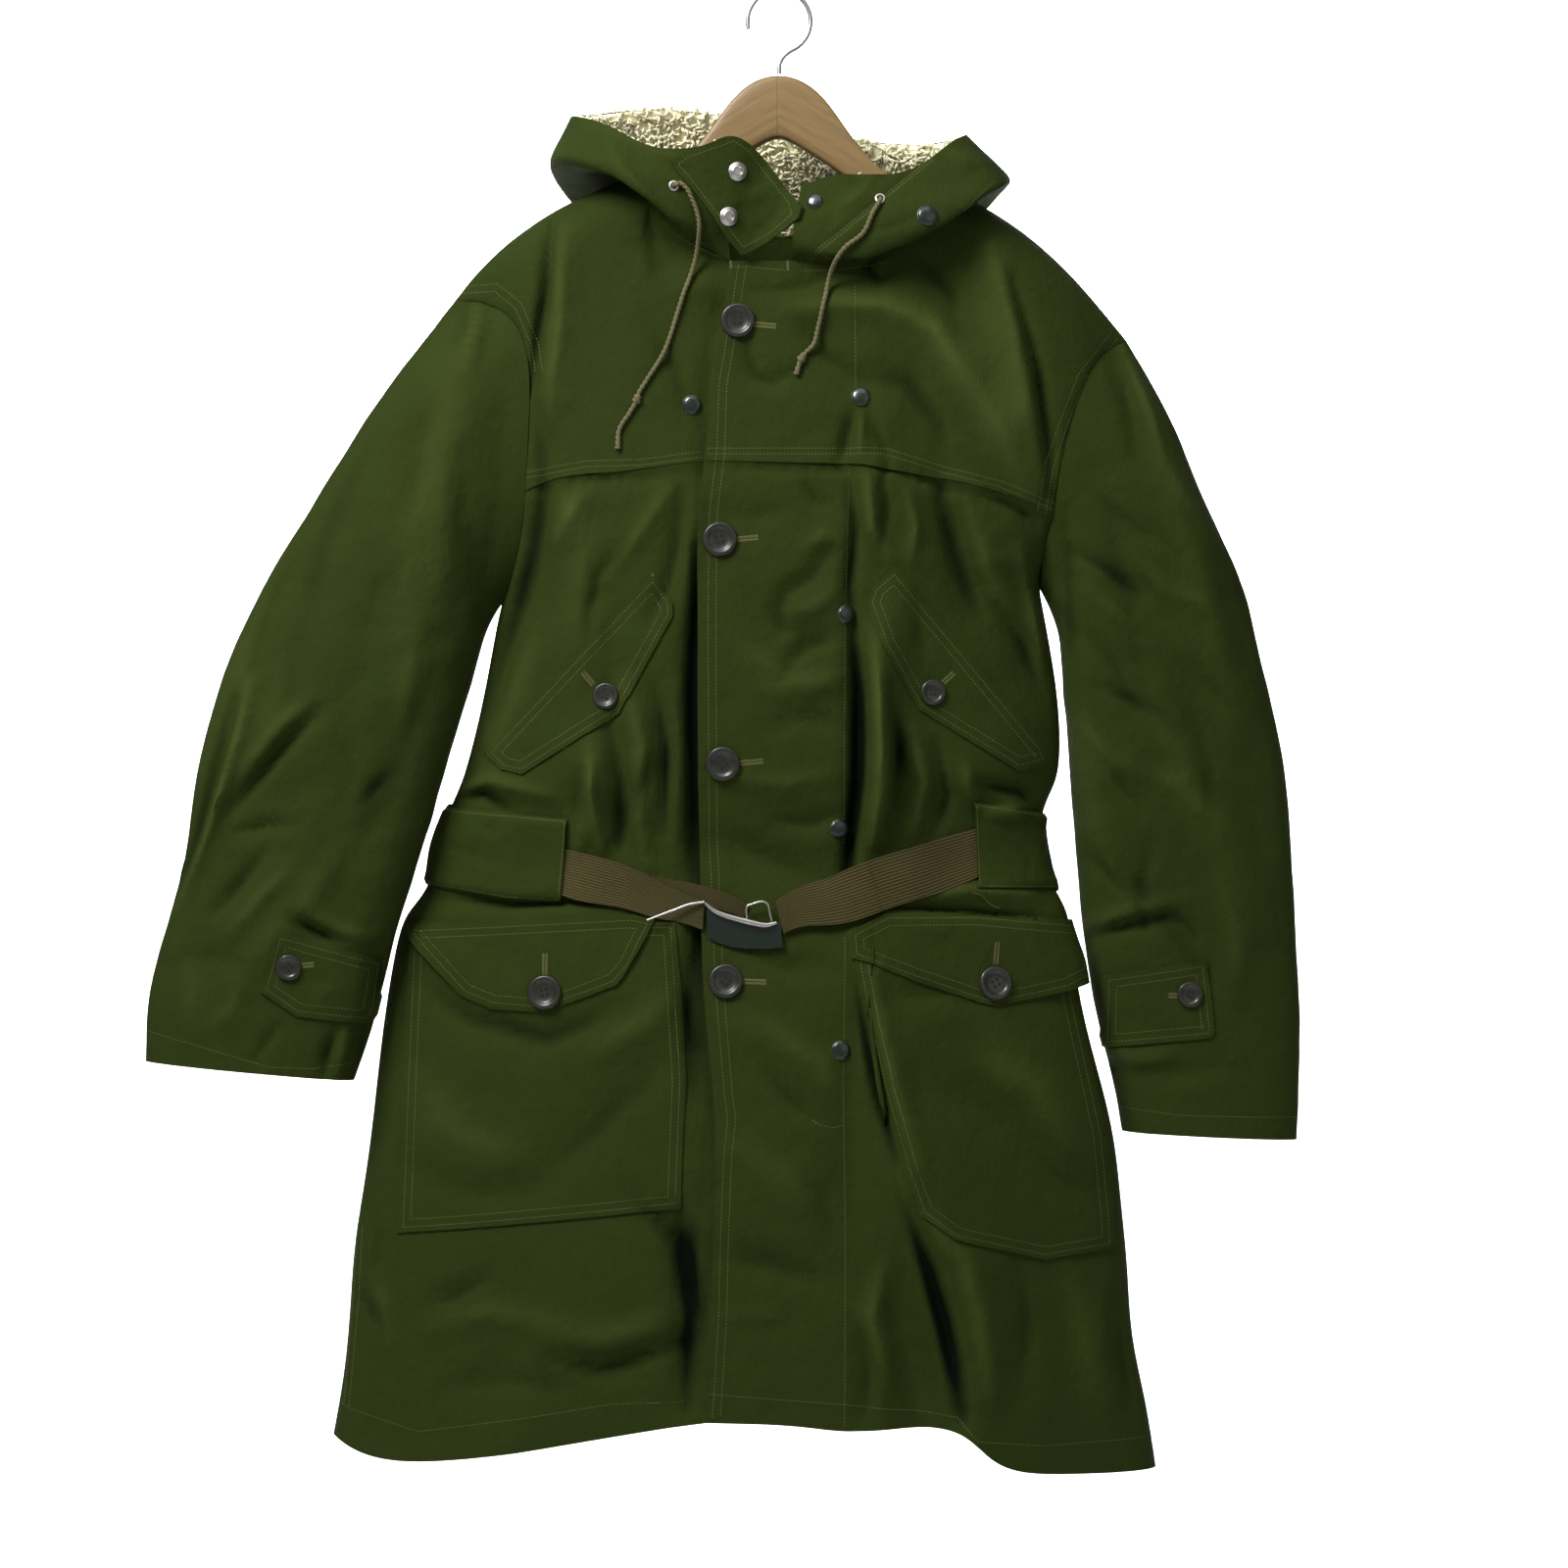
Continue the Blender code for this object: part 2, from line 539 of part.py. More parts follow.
def sleeve(name, rings, front_edge, back_edge, edge_normals, creases):
    """A tube from the armhole loop to the cuff. Its first ring repeats the body's own points."""
    loop = np.vstack([front_edge, back_edge[-2:0:-1]])
    loop_normals = np.vstack([edge_normals[0], edge_normals[1][-2:0:-1]])
    loop_normals[:, 0] *= np.where(loop_normals[:, 2] < 0, -0.5, 1.0)
    half = len(front_edge) - 1
    climbs = (loop[:, 2] - loop[0, 2]) / (loop[half, 2] - loop[0, 2])
    angles = np.arccos(np.clip(1 - 2 * climbs, -1, 1))
    angles[half + 1:] = 2 * math.pi - angles[half + 1:]
    sections = []
    for ring in rings:
        outer = np.array([ring.outer_x, ring.centre_y, -ring.outer_drop])
        inner = np.array([ring.inner_x, ring.centre_y, -ring.inner_drop])
        middle, reach = (outer + inner) / 2, (inner - outer) / 2
        section = [middle + reach * math.cos(a) for a in angles]
        depth = [ring.half_depth * math.copysign(abs(math.sin(a)) ** 0.8, math.sin(a)) for a in angles]
        sections.append(np.array(section) - np.outer(depth, (0, 1, 0)))
    knots = np.array([loop, *sections])
    along = np.linspace(0, 1, RINGS_BETWEEN)
    points = np.stack([smooth_line(knots[:, i], along) for i in range(len(loop))], axis=1)
    for ring in points[2:]:
        centre = ring.mean(axis=0)
        for i, point in enumerate(ring):
            if point[1] < centre[1]:
                point[1] -= sum(
                    fold_height(point[0], -point[2], [Fold(*c[:4], c.width, c.width, c.height)])
                    for c in creases
                ) * math.sin(angles[i])
    wrapped = np.concatenate([points[:, -1:], points, points[:, :1]], axis=1)
    normals = sheet_normals(wrapped, np.array([0.0, 0.0, 0.0]))[:, 1:-1]
    outward = points - points.mean(axis=1, keepdims=True)
    normals *= np.where(np.sum(normals * outward, axis=2) < 0, -1.0, 1.0)[..., None]
    normals[0] = loop_normals
    step = points[1] - points[0]
    points[0] += step * (GAP / np.linalg.norm(step, axis=1, keepdims=True))
    rows, count = points.shape[:2]
    faces = []
    for r in range(rows - 1):
        for c in range(count):
            a, b = r * count + c, r * count + (c + 1) % count
            faces += [[a, a + count, b + count], [a, b + count, b]]
    outer, flat_normals = points.reshape(-1, 3), normals.reshape(-1, 3)
    cloth(name, faces, outer, outer - SHELL * flat_normals)
    in_front = [f for f in faces if all(angles[i % count] <= math.pi + 1e-6 for i in f)]
    first, second, third = outer[faces[0]]
    if np.cross(second - first, third - first) @ flat_normals[faces[0][0]] < 0:
        in_front = [face[::-1] for face in in_front]
    return Surface(outer, flat_normals, in_front, faces)


sleeve_right = sleeve(
    "sleeve_right", SLEEVE_RIGHT, RIGHT[ARMPIT_ROW:, 0], BACK[ARMPIT_ROW:, 0],
    (RIGHT_NORMALS[ARMPIT_ROW:, 0], BACK_NORMALS[ARMPIT_ROW:, 0]), CREASES_RIGHT,
)
sleeve_left = sleeve(
    "sleeve_left", SLEEVE_LEFT, LEFT[ARMPIT_ROW:, -1], BACK[ARMPIT_ROW:, -1],
    (LEFT_NORMALS[ARMPIT_ROW:, -1], BACK_NORMALS[ARMPIT_ROW:, -1]), CREASES_LEFT,
)


# Hood


def front_hit(trees, x, drop):
    """The frontmost point and its normal where a line from the front meets the given surfaces."""
    start = Vector((x * MM, -1.0, -drop * MM))
    hits = [tree.ray_cast(start, Vector((0, 1, 0))) for tree in trees]
    hits = [hit for hit in hits if hit[0] is not None]
    if not hits:
        return None
    place, normal = min(hits, key=lambda hit: hit[3])[:2]
    if normal.y > 0:
        normal = -normal
    return np.array(place) / MM, np.array(normal)


NECK_RIGHT = len(FRONT_COLUMNS[0]) - 1
NECK_LEFT = sum(len(c) - 1 for c in FRONT_COLUMNS[:4]) - PLACKET_COLUMN
BACK_RIGHT = len(BACK_COLUMNS[0]) - 1
BACK_LEFT = sum(len(c) - 1 for c in BACK_COLUMNS[:2])
COLLAR_END = 2  # the left front's column where its side of the collar begins

# Round the neck from the fly's edge by the wearer's right, back and left to the collar's other
# end: the cloth just off the neck seam, at its farthest out and at the rim, as (x, y, drop).
HoodCut = namedtuple("HoodCut", "place low sag out rim")
HOOD = [
    HoodCut(0.0, (-41, -58, 205), (-41, -64, 192), (-40, -67, 170), (-37, -67, 130)),
    HoodCut(0.5, (-66, -62, 207), (-69, -68, 197), (-71, -73, 176), (-70, -68, 141)),
    HoodCut(1.0, (-90, -62, 194), (-98, -72, 190), (-108, -79, 172), (-104, -64, 140)),
    HoodCut(2.0, (-110, -58, 158), (-130, -70, 162), (-148, -72, 150), (-136, -54, 118)),
    HoodCut(2.5, (-124, -38, 144), (-148, -56, 157), (-174, -58, 147), (-158, -42, 109)),
    HoodCut(3.0, (-132, -12, 136), (-160, -26, 151), (-188, -28, 144), (-174, -20, 105)),
    HoodCut(3.5, (-128, 22, 138), (-162, 24, 153), (-191, 22, 148), (-174, 14, 101)),
    HoodCut(4.0, (-110, 53, 150), (-144, 68, 184), (-176, 68, 176), (-156, 38, 95)),
    HoodCut(5.0, (-50, 61, 202), (-80, 84, 238), (-108, 108, 222), (-95, 62, 84)),
    HoodCut(6.0, (0, 62, 213), (0, 88, 256), (0, 116, 240), (-5, 74, 98)),
    HoodCut(7.0, (52, 61, 205), (78, 84, 242), (102, 108, 228), (66, 68, 112)),
    HoodCut(8.0, (112, 54, 152), (146, 74, 190), (174, 78, 180), (128, 46, 121)),
    HoodCut(8.5, (134, 22, 140), (166, 34, 160), (190, 32, 154), (150, 24, 115)),
    HoodCut(9.0, (134, -12, 140), (164, -18, 162), (190, -16, 162), (158, -6, 118)),
    HoodCut(9.5, (128, -34, 149), (158, -46, 172), (186, -42, 166), (152, -24, 121)),
    HoodCut(10.0, (121, -52, 160), (148, -64, 184), (174, -60, 174), (144, -38, 126)),
    HoodCut(11.0, (108, -62, 187), (128, -74, 206), (146, -76, 194), (121, -54, 147)),
    HoodCut(12.0, (92, -63, 208), (103, -76, 219), (113, -85, 205), (98, -63, 159)),
    HoodCut(13.0, (70, -64, 224), (74, -76, 229), (80, -84, 213), (70, -68, 160)),
    HoodCut(14.0, (38, -62, 227), (40, -70, 228), (44, -78, 212), (46, -68, 159)),
    HoodCut(15.0, (11, -59, 224), (11, -65, 218), (12, -69, 200), (18, -64, 168)),
]
HOOD_ROWS = [0, 0.13, 0.26, 0.38, 0.5, 0.65, 0.77, 0.89, 1]
NECK_STEP = 0.5


def hood_sheet():
    neck = np.vstack([
        RIGHT[-1, PLACKET_COLUMN:NECK_RIGHT:-1], BACK[-1, BACK_RIGHT:BACK_LEFT + 1],
        LEFT[-1, NECK_LEFT - 1:COLLAR_END - 1:-1],
    ])
    places = np.arange(0, len(neck) - 0.75, 0.5)
    marks = [cut.place for cut in HOOD]
    points = []
    for place in places:
        i = min(int(place), len(neck) - 2)
        start = neck[i] + (neck[i + 1] - neck[i]) * (place - i)
        inward = np.array([-start[0], -start[1], 0.0]) / math.hypot(start[0], start[1])
        start = start + inward * NECK_STEP + (0, 0, NECK_STEP)
        line = [start]
        for name in ("low", "sag", "out", "rim"):
            table = np.array([getattr(cut, name) for cut in HOOD], float)
            x, y, drop = (np.interp(place, marks, table[:, axis]) for axis in range(3))
            line.append((x, y, -drop))
        points.append(smooth_line(line, HOOD_ROWS))
    points = np.stack(points, axis=1)
    points[3:, 1:-1] = (points[3:, :-2] + 2 * points[3:, 1:-1] + points[3:, 2:]) / 4
    return points, -cell_normals(points)


HOOD_POINTS, HOOD_NORMALS = hood_sheet()
hood = Panel("hood", HOOD_POINTS, HOOD_NORMALS)


PILE_COLUMNS = [0, 2, 4, 17, 20, 30]  # full at the back and sides, thin in the narrow collar


def hood_pile():
    """The pile fills the hood to its rim and thins to the cloth at the neck and the two ends."""
    first = HOOD_ROWS.index(0.65)
    points, normals = HOOD_POINTS[first:], HOOD_NORMALS[first:]
    rows, columns = points.shape[:2]
    share = np.ones((rows, columns))
    share *= np.interp(np.arange(rows), [0, 1, 2, 3], [0.25, 0.8, 1.0, 0.75])[:, None]
    share *= np.interp(np.arange(columns), PILE_COLUMNS, [0.2, 0.5, 1, 1, 0.3, 0.15])[None, :]
    low = points - normals * (SHELL + GAP + 0.6)
    high = low - normals * (PILE * share)[..., None]
    cloth("hood_pile", grid_faces(rows, columns), low.reshape(-1, 3), high.reshape(-1, 3), CREAM)


hood_pile()

# Flaps, pockets and straps

CHEST_FLAP_RIGHT = [(-102, 482), (-86, 507), (-86, 517), (-130, 596), (-210, 646), (-227, 642), (-242, 628)]
CHEST_FLAP_LEFT = [
    (94, 478), (75, 494), (71, 507), (84, 542), (113, 593), (196, 643), (219, 637), (221, 632), (217, 623),
]
POCKET_RIGHT = [(-303, 766), (-84, 766), (-76, 894), (-80, 997), (-312, 1021)]
POCKET_LEFT = [
    (61, 775), (62, 802), (70, 846), (84, 906), (101, 965), (114, 1001), (142, 1022), (216, 1041),
    (276, 1034), (274, 1000), (268, 940), (232, 775),
]
POCKET_FLAP_RIGHT = [
    (-305, 770), (-120, 760), (-100, 764), (-108, 778), (-120, 803), (-132, 817), (-163, 829),
    (-193, 839), (-234, 836), (-259, 826), (-304, 778),
]
POCKET_FLAP_LEFT = [
    (57, 773), (88, 758), (160, 758), (262, 768), (262, 812), (238, 823), (178, 835), (166, 833),
    (109, 813), (59, 794),
]
CASING_RIGHT = [(-330, 668), (-172, 682), (-178, 751), (-224, 748), (-285, 738), (-330, 728)]
CASING_LEFT = [(159, 668), (210, 676), (300, 690), (300, 742), (162, 739)]
CASING_BACK = [(-330, 668), (0, 680), (300, 690), (300, 742), (0, 745), (-330, 728)]
CUFF_TAB_RIGHT = [(-406, 773), (-420, 822), (-391, 842), (-334, 849), (-328, 838), (-322, 797)]
CUFF_TAB_LEFT = [(268, 812), (353, 799), (359, 858), (356, 863), (268, 872)]
ON_POCKET = GAP + PATCH + GAP
TUNNEL = 3.6  # room for the webbing behind the belt casing
TUNNEL_RAMP = 4.0


def tunnel(outline, lift):
    """Lift of the belt casing: down on the cloth at its stitched edges, off it between them."""
    def at(x, drop):
        top = np.interp(x, [p[0] for p in outline[0]], [p[1] for p in outline[0]])
        bottom = np.interp(x, [p[0] for p in outline[1]], [p[1] for p in outline[1]])
        inset = min(drop - top, bottom - drop) / TUNNEL_RAMP
        return lift + TUNNEL * min(1.0, max(0.0, inset))
    return at


def flap_end(lift, left_x, left_height, right_x, right_height):
    """Lift of a pocket flap whose two ends curl away from the pocket."""
    def at(x, drop):
        left = min(1.0, max(0.0, (left_x - x) / 45)) ** 2 * left_height
        right = min(1.0, max(0.0, (x - right_x) / 45)) ** 2 * right_height
        hang = min(1.0, max(0.0, (drop - 768) / 30))
        return lift + (left + right) * hang
    return at


chest_flap_right = front_right.patch("chest_flap_right", CHEST_FLAP_RIGHT)
chest_flap_left = front_left.patch("chest_flap_left", CHEST_FLAP_LEFT)
pocket_right = front_right.patch("pocket_right", POCKET_RIGHT)
pocket_left = front_left.patch("pocket_left", POCKET_LEFT)
pocket_flap_right = front_right.patch(
    "pocket_flap_right", POCKET_FLAP_RIGHT,
    flap_end(ON_POCKET, -250, 7, -150, 4), flap_end(ON_POCKET + PATCH, -250, 7, -150, 4),
)
pocket_flap_left = front_left.patch(
    "pocket_flap_left", POCKET_FLAP_LEFT,
    flap_end(ON_POCKET, 80, 0, 200, 7), flap_end(ON_POCKET + PATCH, 80, 0, 200, 7),
)
EDGES_RIGHT = ([(-330, 668), (-172, 682)], [(-330, 728), (-285, 738), (-224, 748), (-178, 751)])
EDGES_LEFT = ([(159, 668), (210, 676), (300, 690)], [(162, 739), (300, 742)])
EDGES_BACK = ([(-330, 668), (0, 680), (300, 690)], [(-330, 728), (0, 745), (300, 742)])
for side_name, panel, outline, edges in (
    ("right", front_right, CASING_RIGHT, EDGES_RIGHT),
    ("left", front_left, CASING_LEFT, EDGES_LEFT),
    ("back", back, CASING_BACK, EDGES_BACK),
):
    panel.patch("belt_casing_" + side_name, outline, tunnel(edges, GAP), tunnel(edges, GAP + PATCH))
cuff_tab_right = sleeve_right.patch("cuff_tab_right", CUFF_TAB_RIGHT)
cuff_tab_left = sleeve_left.patch("cuff_tab_left", CUFF_TAB_LEFT)

# Throat tab, from its stitched line on the hood to its free corner
TAB_TOP = [(-89, 150), (-74, 142), (-51, 134), (-35, 128), (-22, 137), (12, 179), (18, 187)]
TAB_BOTTOM = [(-87, 153), (-74, 168), (-61, 184), (-48, 201), (-30, 225), (-8, 212), (15, 196)]
TAB_CLEARANCE = 0.7
FRONT_ONLY = -25.0  # a line that misses the front goes on to the inside of the back


def lifted_sheet(name, top, bottom, stations, rows, trees, clearance, thick, kind, taut=False):
    """A strip in front of other pieces: its depth is theirs, less a clearance, and it has no dips."""
    us = np.linspace(0, 1, stations)
    upper, lower = smooth_line(top, us), smooth_line(bottom, us)
    vs = np.linspace(0, 1, rows)[:, None, None]
    flat = lower[None] * (1 - vs) + upper[None] * vs
    found = np.full(flat.shape[:2], np.nan)
    reach = (-5, 0, 5)
    for row in range(rows):
        for column in range(stations):
            x, drop = flat[row, column]
            hits = [front_hit(trees, x + dx, drop + dd) for dx in reach for dd in reach]
            hits = [hit[0][1] for hit in hits if hit is not None and hit[0][1] < FRONT_ONLY]
            if hits:
                found[row, column] = min(hits)
    filled = np.where(np.isnan(found), np.nanmax(found), found)
    nearest = filled.min(axis=0)
    depth = nearest.copy()
    along = flat.mean(axis=0)[:, 0]
    if taut:
        for j in range(stations):
            for a in range(j):
                for b in range(j + 1, stations):
                    share = (along[j] - along[a]) / (along[b] - along[a])
                    depth[j] = min(depth[j], nearest[a] * (1 - share) + nearest[b] * share)
    away = np.broadcast_to(depth - clearance - thick, flat.shape[:2])
    points = np.stack([flat[..., 0], away, -flat[..., 1]], axis=2)
    inner = points + (0, thick, 0)
    faces = grid_faces(rows, stations)
    cloth(name, faces, points.reshape(-1, 3), inner.reshape(-1, 3), kind)
    return BVHTree.FromPolygons((points.reshape(-1, 3) * MM).tolist(), faces)


throat_tab = lifted_sheet(
    "throat_tab", TAB_TOP, TAB_BOTTOM, 9, 5, [hood.tree], TAB_CLEARANCE, SHELL, GREEN,
)

# Belt

WEB = 1.3
WEB_RIGHT_TOP = [
    (-196, 703), (-180, 706), (-170, 708), (-148, 713), (-125, 720), (-102, 731), (-76, 743),
    (-61, 750),
]
WEB_RIGHT_BOTTOM = [
    (-196, 738), (-180, 743), (-170, 747), (-148, 751), (-125, 755), (-102, 762), (-76, 767),
    (-62, 772),
]
WEB_LEFT_TOP = [
    (-3, 749), (19, 736), (37, 731), (54, 723), (82, 713), (120, 702), (154, 692), (162, 690),
    (173, 688),
]
WEB_LEFT_BOTTOM = [
    (4, 775), (19, 769), (37, 768), (54, 766), (82, 757), (120, 745), (154, 735), (162, 729),
    (173, 725),
]
STRAP_TOP = [(-122, 722), (-90, 731), (-63, 736), (-41, 743), (-25, 752)]
STRAP_BOTTOM = [(-120, 738), (-92, 748), (-66, 752), (-44, 757), (-29, 762)]
fronts = [front_right.tree, front_left.tree]
strap = lifted_sheet("belt_strap", STRAP_TOP, STRAP_BOTTOM, 7, 3, fronts, 0.1, WEB, KHAKI, True)


def webbing(name, top, bottom, inner_end, under):
    """Webbing taut across the front, with its last stretch close on the cloth inside the casing."""
    stations = 13
    us = np.linspace(0, 1, stations)
    upper, lower = smooth_line(top, us), smooth_line(bottom, us)
    rows = 5
    vs = np.linspace(0, 1, rows)[:, None, None]
    flat = lower[None] * (1 - vs) + upper[None] * vs
    points = np.zeros((rows, stations, 3))
    for column in range(stations):
        near, far = [], []
        for row in range(rows):
            x, drop = flat[row, column]
            hits = [front_hit(fronts, x + dx, drop + dd)[0][1] for dx in (-2, 0, 2) for dd in (-2, 0, 2)]
            near.append(min(hits) - 0.5 - WEB)
            over = [front_hit(under, x + dx, drop + dd) for dx in (-7, 0, 7) for dd in (-7, 0, 7)]
            far.append(min([hit[0][1] for hit in over if hit is not None]) - 1.2 - WEB)
        share = min(1.0, max(0.0, abs(flat[0, column, 0] - inner_end) / 30 - 0.7))
        for row in range(rows):
            y = near[row] * (1 - share) + min(far) * share
            points[row, column] = (flat[row, column, 0], y, -flat[row, column, 1])
    faces = grid_faces(rows, stations)
    inner = points + (0, WEB, 0)
    cloth(name, faces, points.reshape(-1, 3), inner.reshape(-1, 3), KHAKI)
    return BVHTree.FromPolygons((points.reshape(-1, 3) * MM).tolist(), faces)


web_right = webbing("belt_webbing_right", WEB_RIGHT_TOP, WEB_RIGHT_BOTTOM, -196, [*fronts, strap])
web_left = webbing("belt_webbing_left", WEB_LEFT_TOP, WEB_LEFT_BOTTOM, 173, fronts)


def tube(name, path, radii, sides, kind, closed=False):
    """A round bar along a path of points, its ends capped."""
    path = np.array(path, float)
    count = len(path)
    tangents = np.gradient(path, axis=0)
    if closed:
        tangents = np.roll(path, -1, axis=0) - np.roll(path, 1, axis=0)
    tangents /= np.linalg.norm(tangents, axis=1, keepdims=True)
    side = np.cross(tangents[0], (0.0, 0.3, 1.0) if abs(tangents[0][2]) < 0.9 else (0.0, 1.0, 0.0))
    rings, radii = [], np.broadcast_to(radii, count)
    for place, tangent, radius in zip(path, tangents, radii):
        side = side - tangent * (side @ tangent)
        side /= np.linalg.norm(side)
        other = np.cross(tangent, side)
        for i in range(sides):
            a = 2 * math.pi * i / sides
            rings.append(place + radius * (side * math.cos(a) + other * math.sin(a)))
    faces = []
    spans = count if closed else count - 1
    for r in range(spans):
        for c in range(sides):
            a, b = r * sides + c, r * sides + (c + 1) % sides
            d, e = (b + sides) % len(rings), (a + sides) % len(rings)
            faces.append([a, b, d, e])
    if not closed:
        faces.append(list(range(sides))[::-1])
        faces.append([len(rings) - sides + i for i in range(sides)])
    mesh = bpy.data.meshes.new(name)
    mesh.from_pydata((np.array(rings) * MM).tolist(), [], faces)
    body = bmesh.new()
    body.from_mesh(mesh)
    bmesh.ops.recalc_face_normals(body, faces=body.faces)
    body.to_mesh(mesh)
    body.free()
    return add_object(name, mesh, kind)


# The buckle hangs askew on the joined ends; its plate is plain
webs = [*fronts, strap, web_right, web_left]
PLATE_TOP = [(-59, 753), (-48, 759), (-36, 762.5), (-20, 766), (-7, 768), (1, 766.5)]
PLATE_BOTTOM = [(-58, 778), (-48, 783), (-38, 786), (-20, 787), (-8, 787), (3, 786)]
plate = lifted_sheet("buckle_plate", PLATE_TOP, PLATE_BOTTOM, 7, 3, webs, 0.1, 1.2, PAINT)
BUCKLE_Y = min(front_hit([*webs, plate], x, 768)[0][1] for x in (-58, -44, -30, -16, -4))
BAR = [
    (-60, 750, 1.2), (-53, 756, 1.9), (-44, 760, 2.2), (-34, 763, 2.4), (-22, 766, 2.4),
    (-10, 768, 2.2), (-2, 766, 1.2),
]
BAR_Y = BUCKLE_Y - 2.0
tube("buckle_bar", [(x, BAR_Y, -drop) for x, drop, _ in BAR], [r for *_, r in BAR], 8, STEEL)
RING = [(-26, 762.3), (-26.5, 754), (-24, 751.5), (-11, 749), (-8.5, 751), (-6, 764.6)]
tube("buckle_ring", [(x, BAR_Y + 0.6, -drop) for x, drop in RING], 0.9, 8, STEEL)
PRONG = [(-60.6, 749.2), (-72, 751), (-86, 756), (-98, 760.5), (-107, 764)]
tube("buckle_prong", [(x, BAR_Y + 0.9, -drop) for x, drop in PRONG], 1.0, 8, STEEL)

# Buttons, snaps and eyelets

Turned = namedtuple("Turned", "profile sides kind")
BUTTON = Turned([(0, 0), (0.85, 0), (1, 0.15), (0.9, 0.3), (0.72, 0.18), (0, 0.15)], 12, HORN)
SNAP = Turned([(0, 0), (1, 0), (0.9, 0.22), (0, 0.38)], 10, PAINT)
SOCKET = Turned(
    [(0, 0), (1, 0), (1, 0.12), (0.72, 0.2), (0.6, 0.38), (0.42, 0.38), (0.36, 0.14), (0, 0.14)], 10, STEEL,
)
EYELET = Turned([(0.5, 0), (1, 0), (0.8, 0.25), (0.5, 0.2)], 10, STEEL)


def seat(tree, x, drop, radius):
    """Where a flat disc rests on a surface, clear of it all round, and its facing."""
    place, normal = front_hit([tree], x, drop)
    side = np.cross(normal, (0.0, 0.0, 1.0))
    side /= np.linalg.norm(side)
    other = np.cross(normal, side)
    lift = 0.0
    for share in (0.5, 1.0):
        for i in range(12):
            a = i * math.pi / 6
            probe = place + radius * share * (side * math.cos(a) + other * math.sin(a)) + normal * 25
            hit = tree.ray_cast(Vector(probe * MM), Vector(-normal))
            if hit[0] is not None:
                lift = max(lift, 25 - hit[3] / MM)
    return place + normal * (lift + GAP), normal, side, other


def turned(name, shape, tree, x, drop, radius):
    place, normal, side, other = seat(tree, x, drop, radius)
    ring = shape.profile[0][0] > 0
    inner = shape.profile if ring else shape.profile[1:-1]
    points = [
        place + radius * (r * (side * math.cos(a) + other * math.sin(a)) + h * normal)
        for r, h in inner
        for a in (2 * math.pi * i / shape.sides for i in range(shape.sides))
    ]
    faces = []
    for r in range(len(inner) if ring else len(inner) - 1):
        for c in range(shape.sides):
            a, b = r * shape.sides + c, r * shape.sides + (c + 1) % shape.sides
            faces.append([a, b, (b + shape.sides) % len(points), (a + shape.sides) % len(points)])
    if not ring:
        count = len(points)
        points += [place + radius * h * normal for _, h in (shape.profile[0], shape.profile[-1])]
        last = count - shape.sides
        for c in range(shape.sides):
            after = (c + 1) % shape.sides
            faces += [[after, c, count], [last + c, last + after, count + 1]]
    mesh = bpy.data.meshes.new(name)
    mesh.from_pydata((np.array(points) * MM).tolist(), [], faces)
    body = bmesh.new()
    body.from_mesh(mesh)
    bmesh.ops.recalc_face_normals(body, faces=body.faces)
    body.to_mesh(mesh)
    body.free()
    add_object(name, mesh, shape.kind)


Trim = namedtuple("Trim", "name shape tree x drop radius")
TRIMS = [
    Trim("front_button_1", BUTTON, yoke_left.tree, -33.6, 276.8, 14),
    Trim("front_button_2", BUTTON, front_left.tree, -48, 455, 14),
    Trim("front_button_3", BUTTON, front_left.tree, -45.6, 637, 14),
    Trim("front_button_4", BUTTON, front_left.tree, -43.2, 813.6, 14),
    Trim("chest_button_right", BUTTON, chest_flap_right, -141, 582, 10.5),
    Trim("chest_button_left", BUTTON, chest_flap_left, 124.8, 579, 10.5),
    Trim("pocket_button_right", BUTTON, pocket_flap_right, -190.4, 823, 14),
    Trim("pocket_button_left", BUTTON, pocket_flap_left, 176, 816, 14),
    Trim("cuff_button_right", BUTTON, cuff_tab_right, -397, 802, 10.5),
    Trim("cuff_button_left", BUTTON, cuff_tab_left, 338.4, 827, 10.5),
    Trim("front_snap_1", SNAP, yoke_left.tree, 66.4, 339, 7.5),
    Trim("front_snap_2", SNAP, front_left.tree, 54.4, 516, 7.5),
    Trim("front_snap_3", SNAP, front_left.tree, 48.8, 690, 7.5),
    Trim("front_snap_4", SNAP, front_left.tree, 50, 869.6, 7.5),
    Trim("under_snap", SNAP, yoke_right.tree, -71, 345, 7.5),
    Trim("hood_snap", SNAP, hood.tree, 119.6, 195, 8),
    Trim("collar_stud", SNAP, hood.tree, 29, 182, 6.5),
    Trim("tab_socket_1", SOCKET, throat_tab, -33.6, 157.6, 7.6),
    Trim("tab_socket_2", SOCKET, throat_tab, -40.8, 194, 7.6),
    Trim("eyelet_right", EYELET, hood.tree, -85, 170, 4.6),
    Trim("eyelet_left", EYELET, hood.tree, 81.6, 181, 4.8),
]
for trim in TRIMS:
    turned(*trim)

# Drawcord ends of the hood

CORD = 1.75
CORD_RIGHT = [
    (-85, 170), (-81, 168), (-77, 170), (-70, 181), (-65, 196), (-66, 217), (-73, 242), (-78, 255),
    (-82, 268), (-94, 303), (-108, 326), (-114, 336), (-116, 342), (-121, 351), (-130, 366), (-131, 381),
]
CORD_LEFT = [
    (81.6, 181), (80, 185), (76, 192), (68, 209), (52, 222), (44, 234), (37, 260), (32, 282), (27, 298),
    (22, 303), (18.4, 308), (16, 314), (14, 321),
]
KNOT_RIGHT, KNOT_LEFT = 12, 10
KNOT = 3.2
cord_trees = [hood.tree, yoke_right.tree, yoke_left.tree, throat_tab]


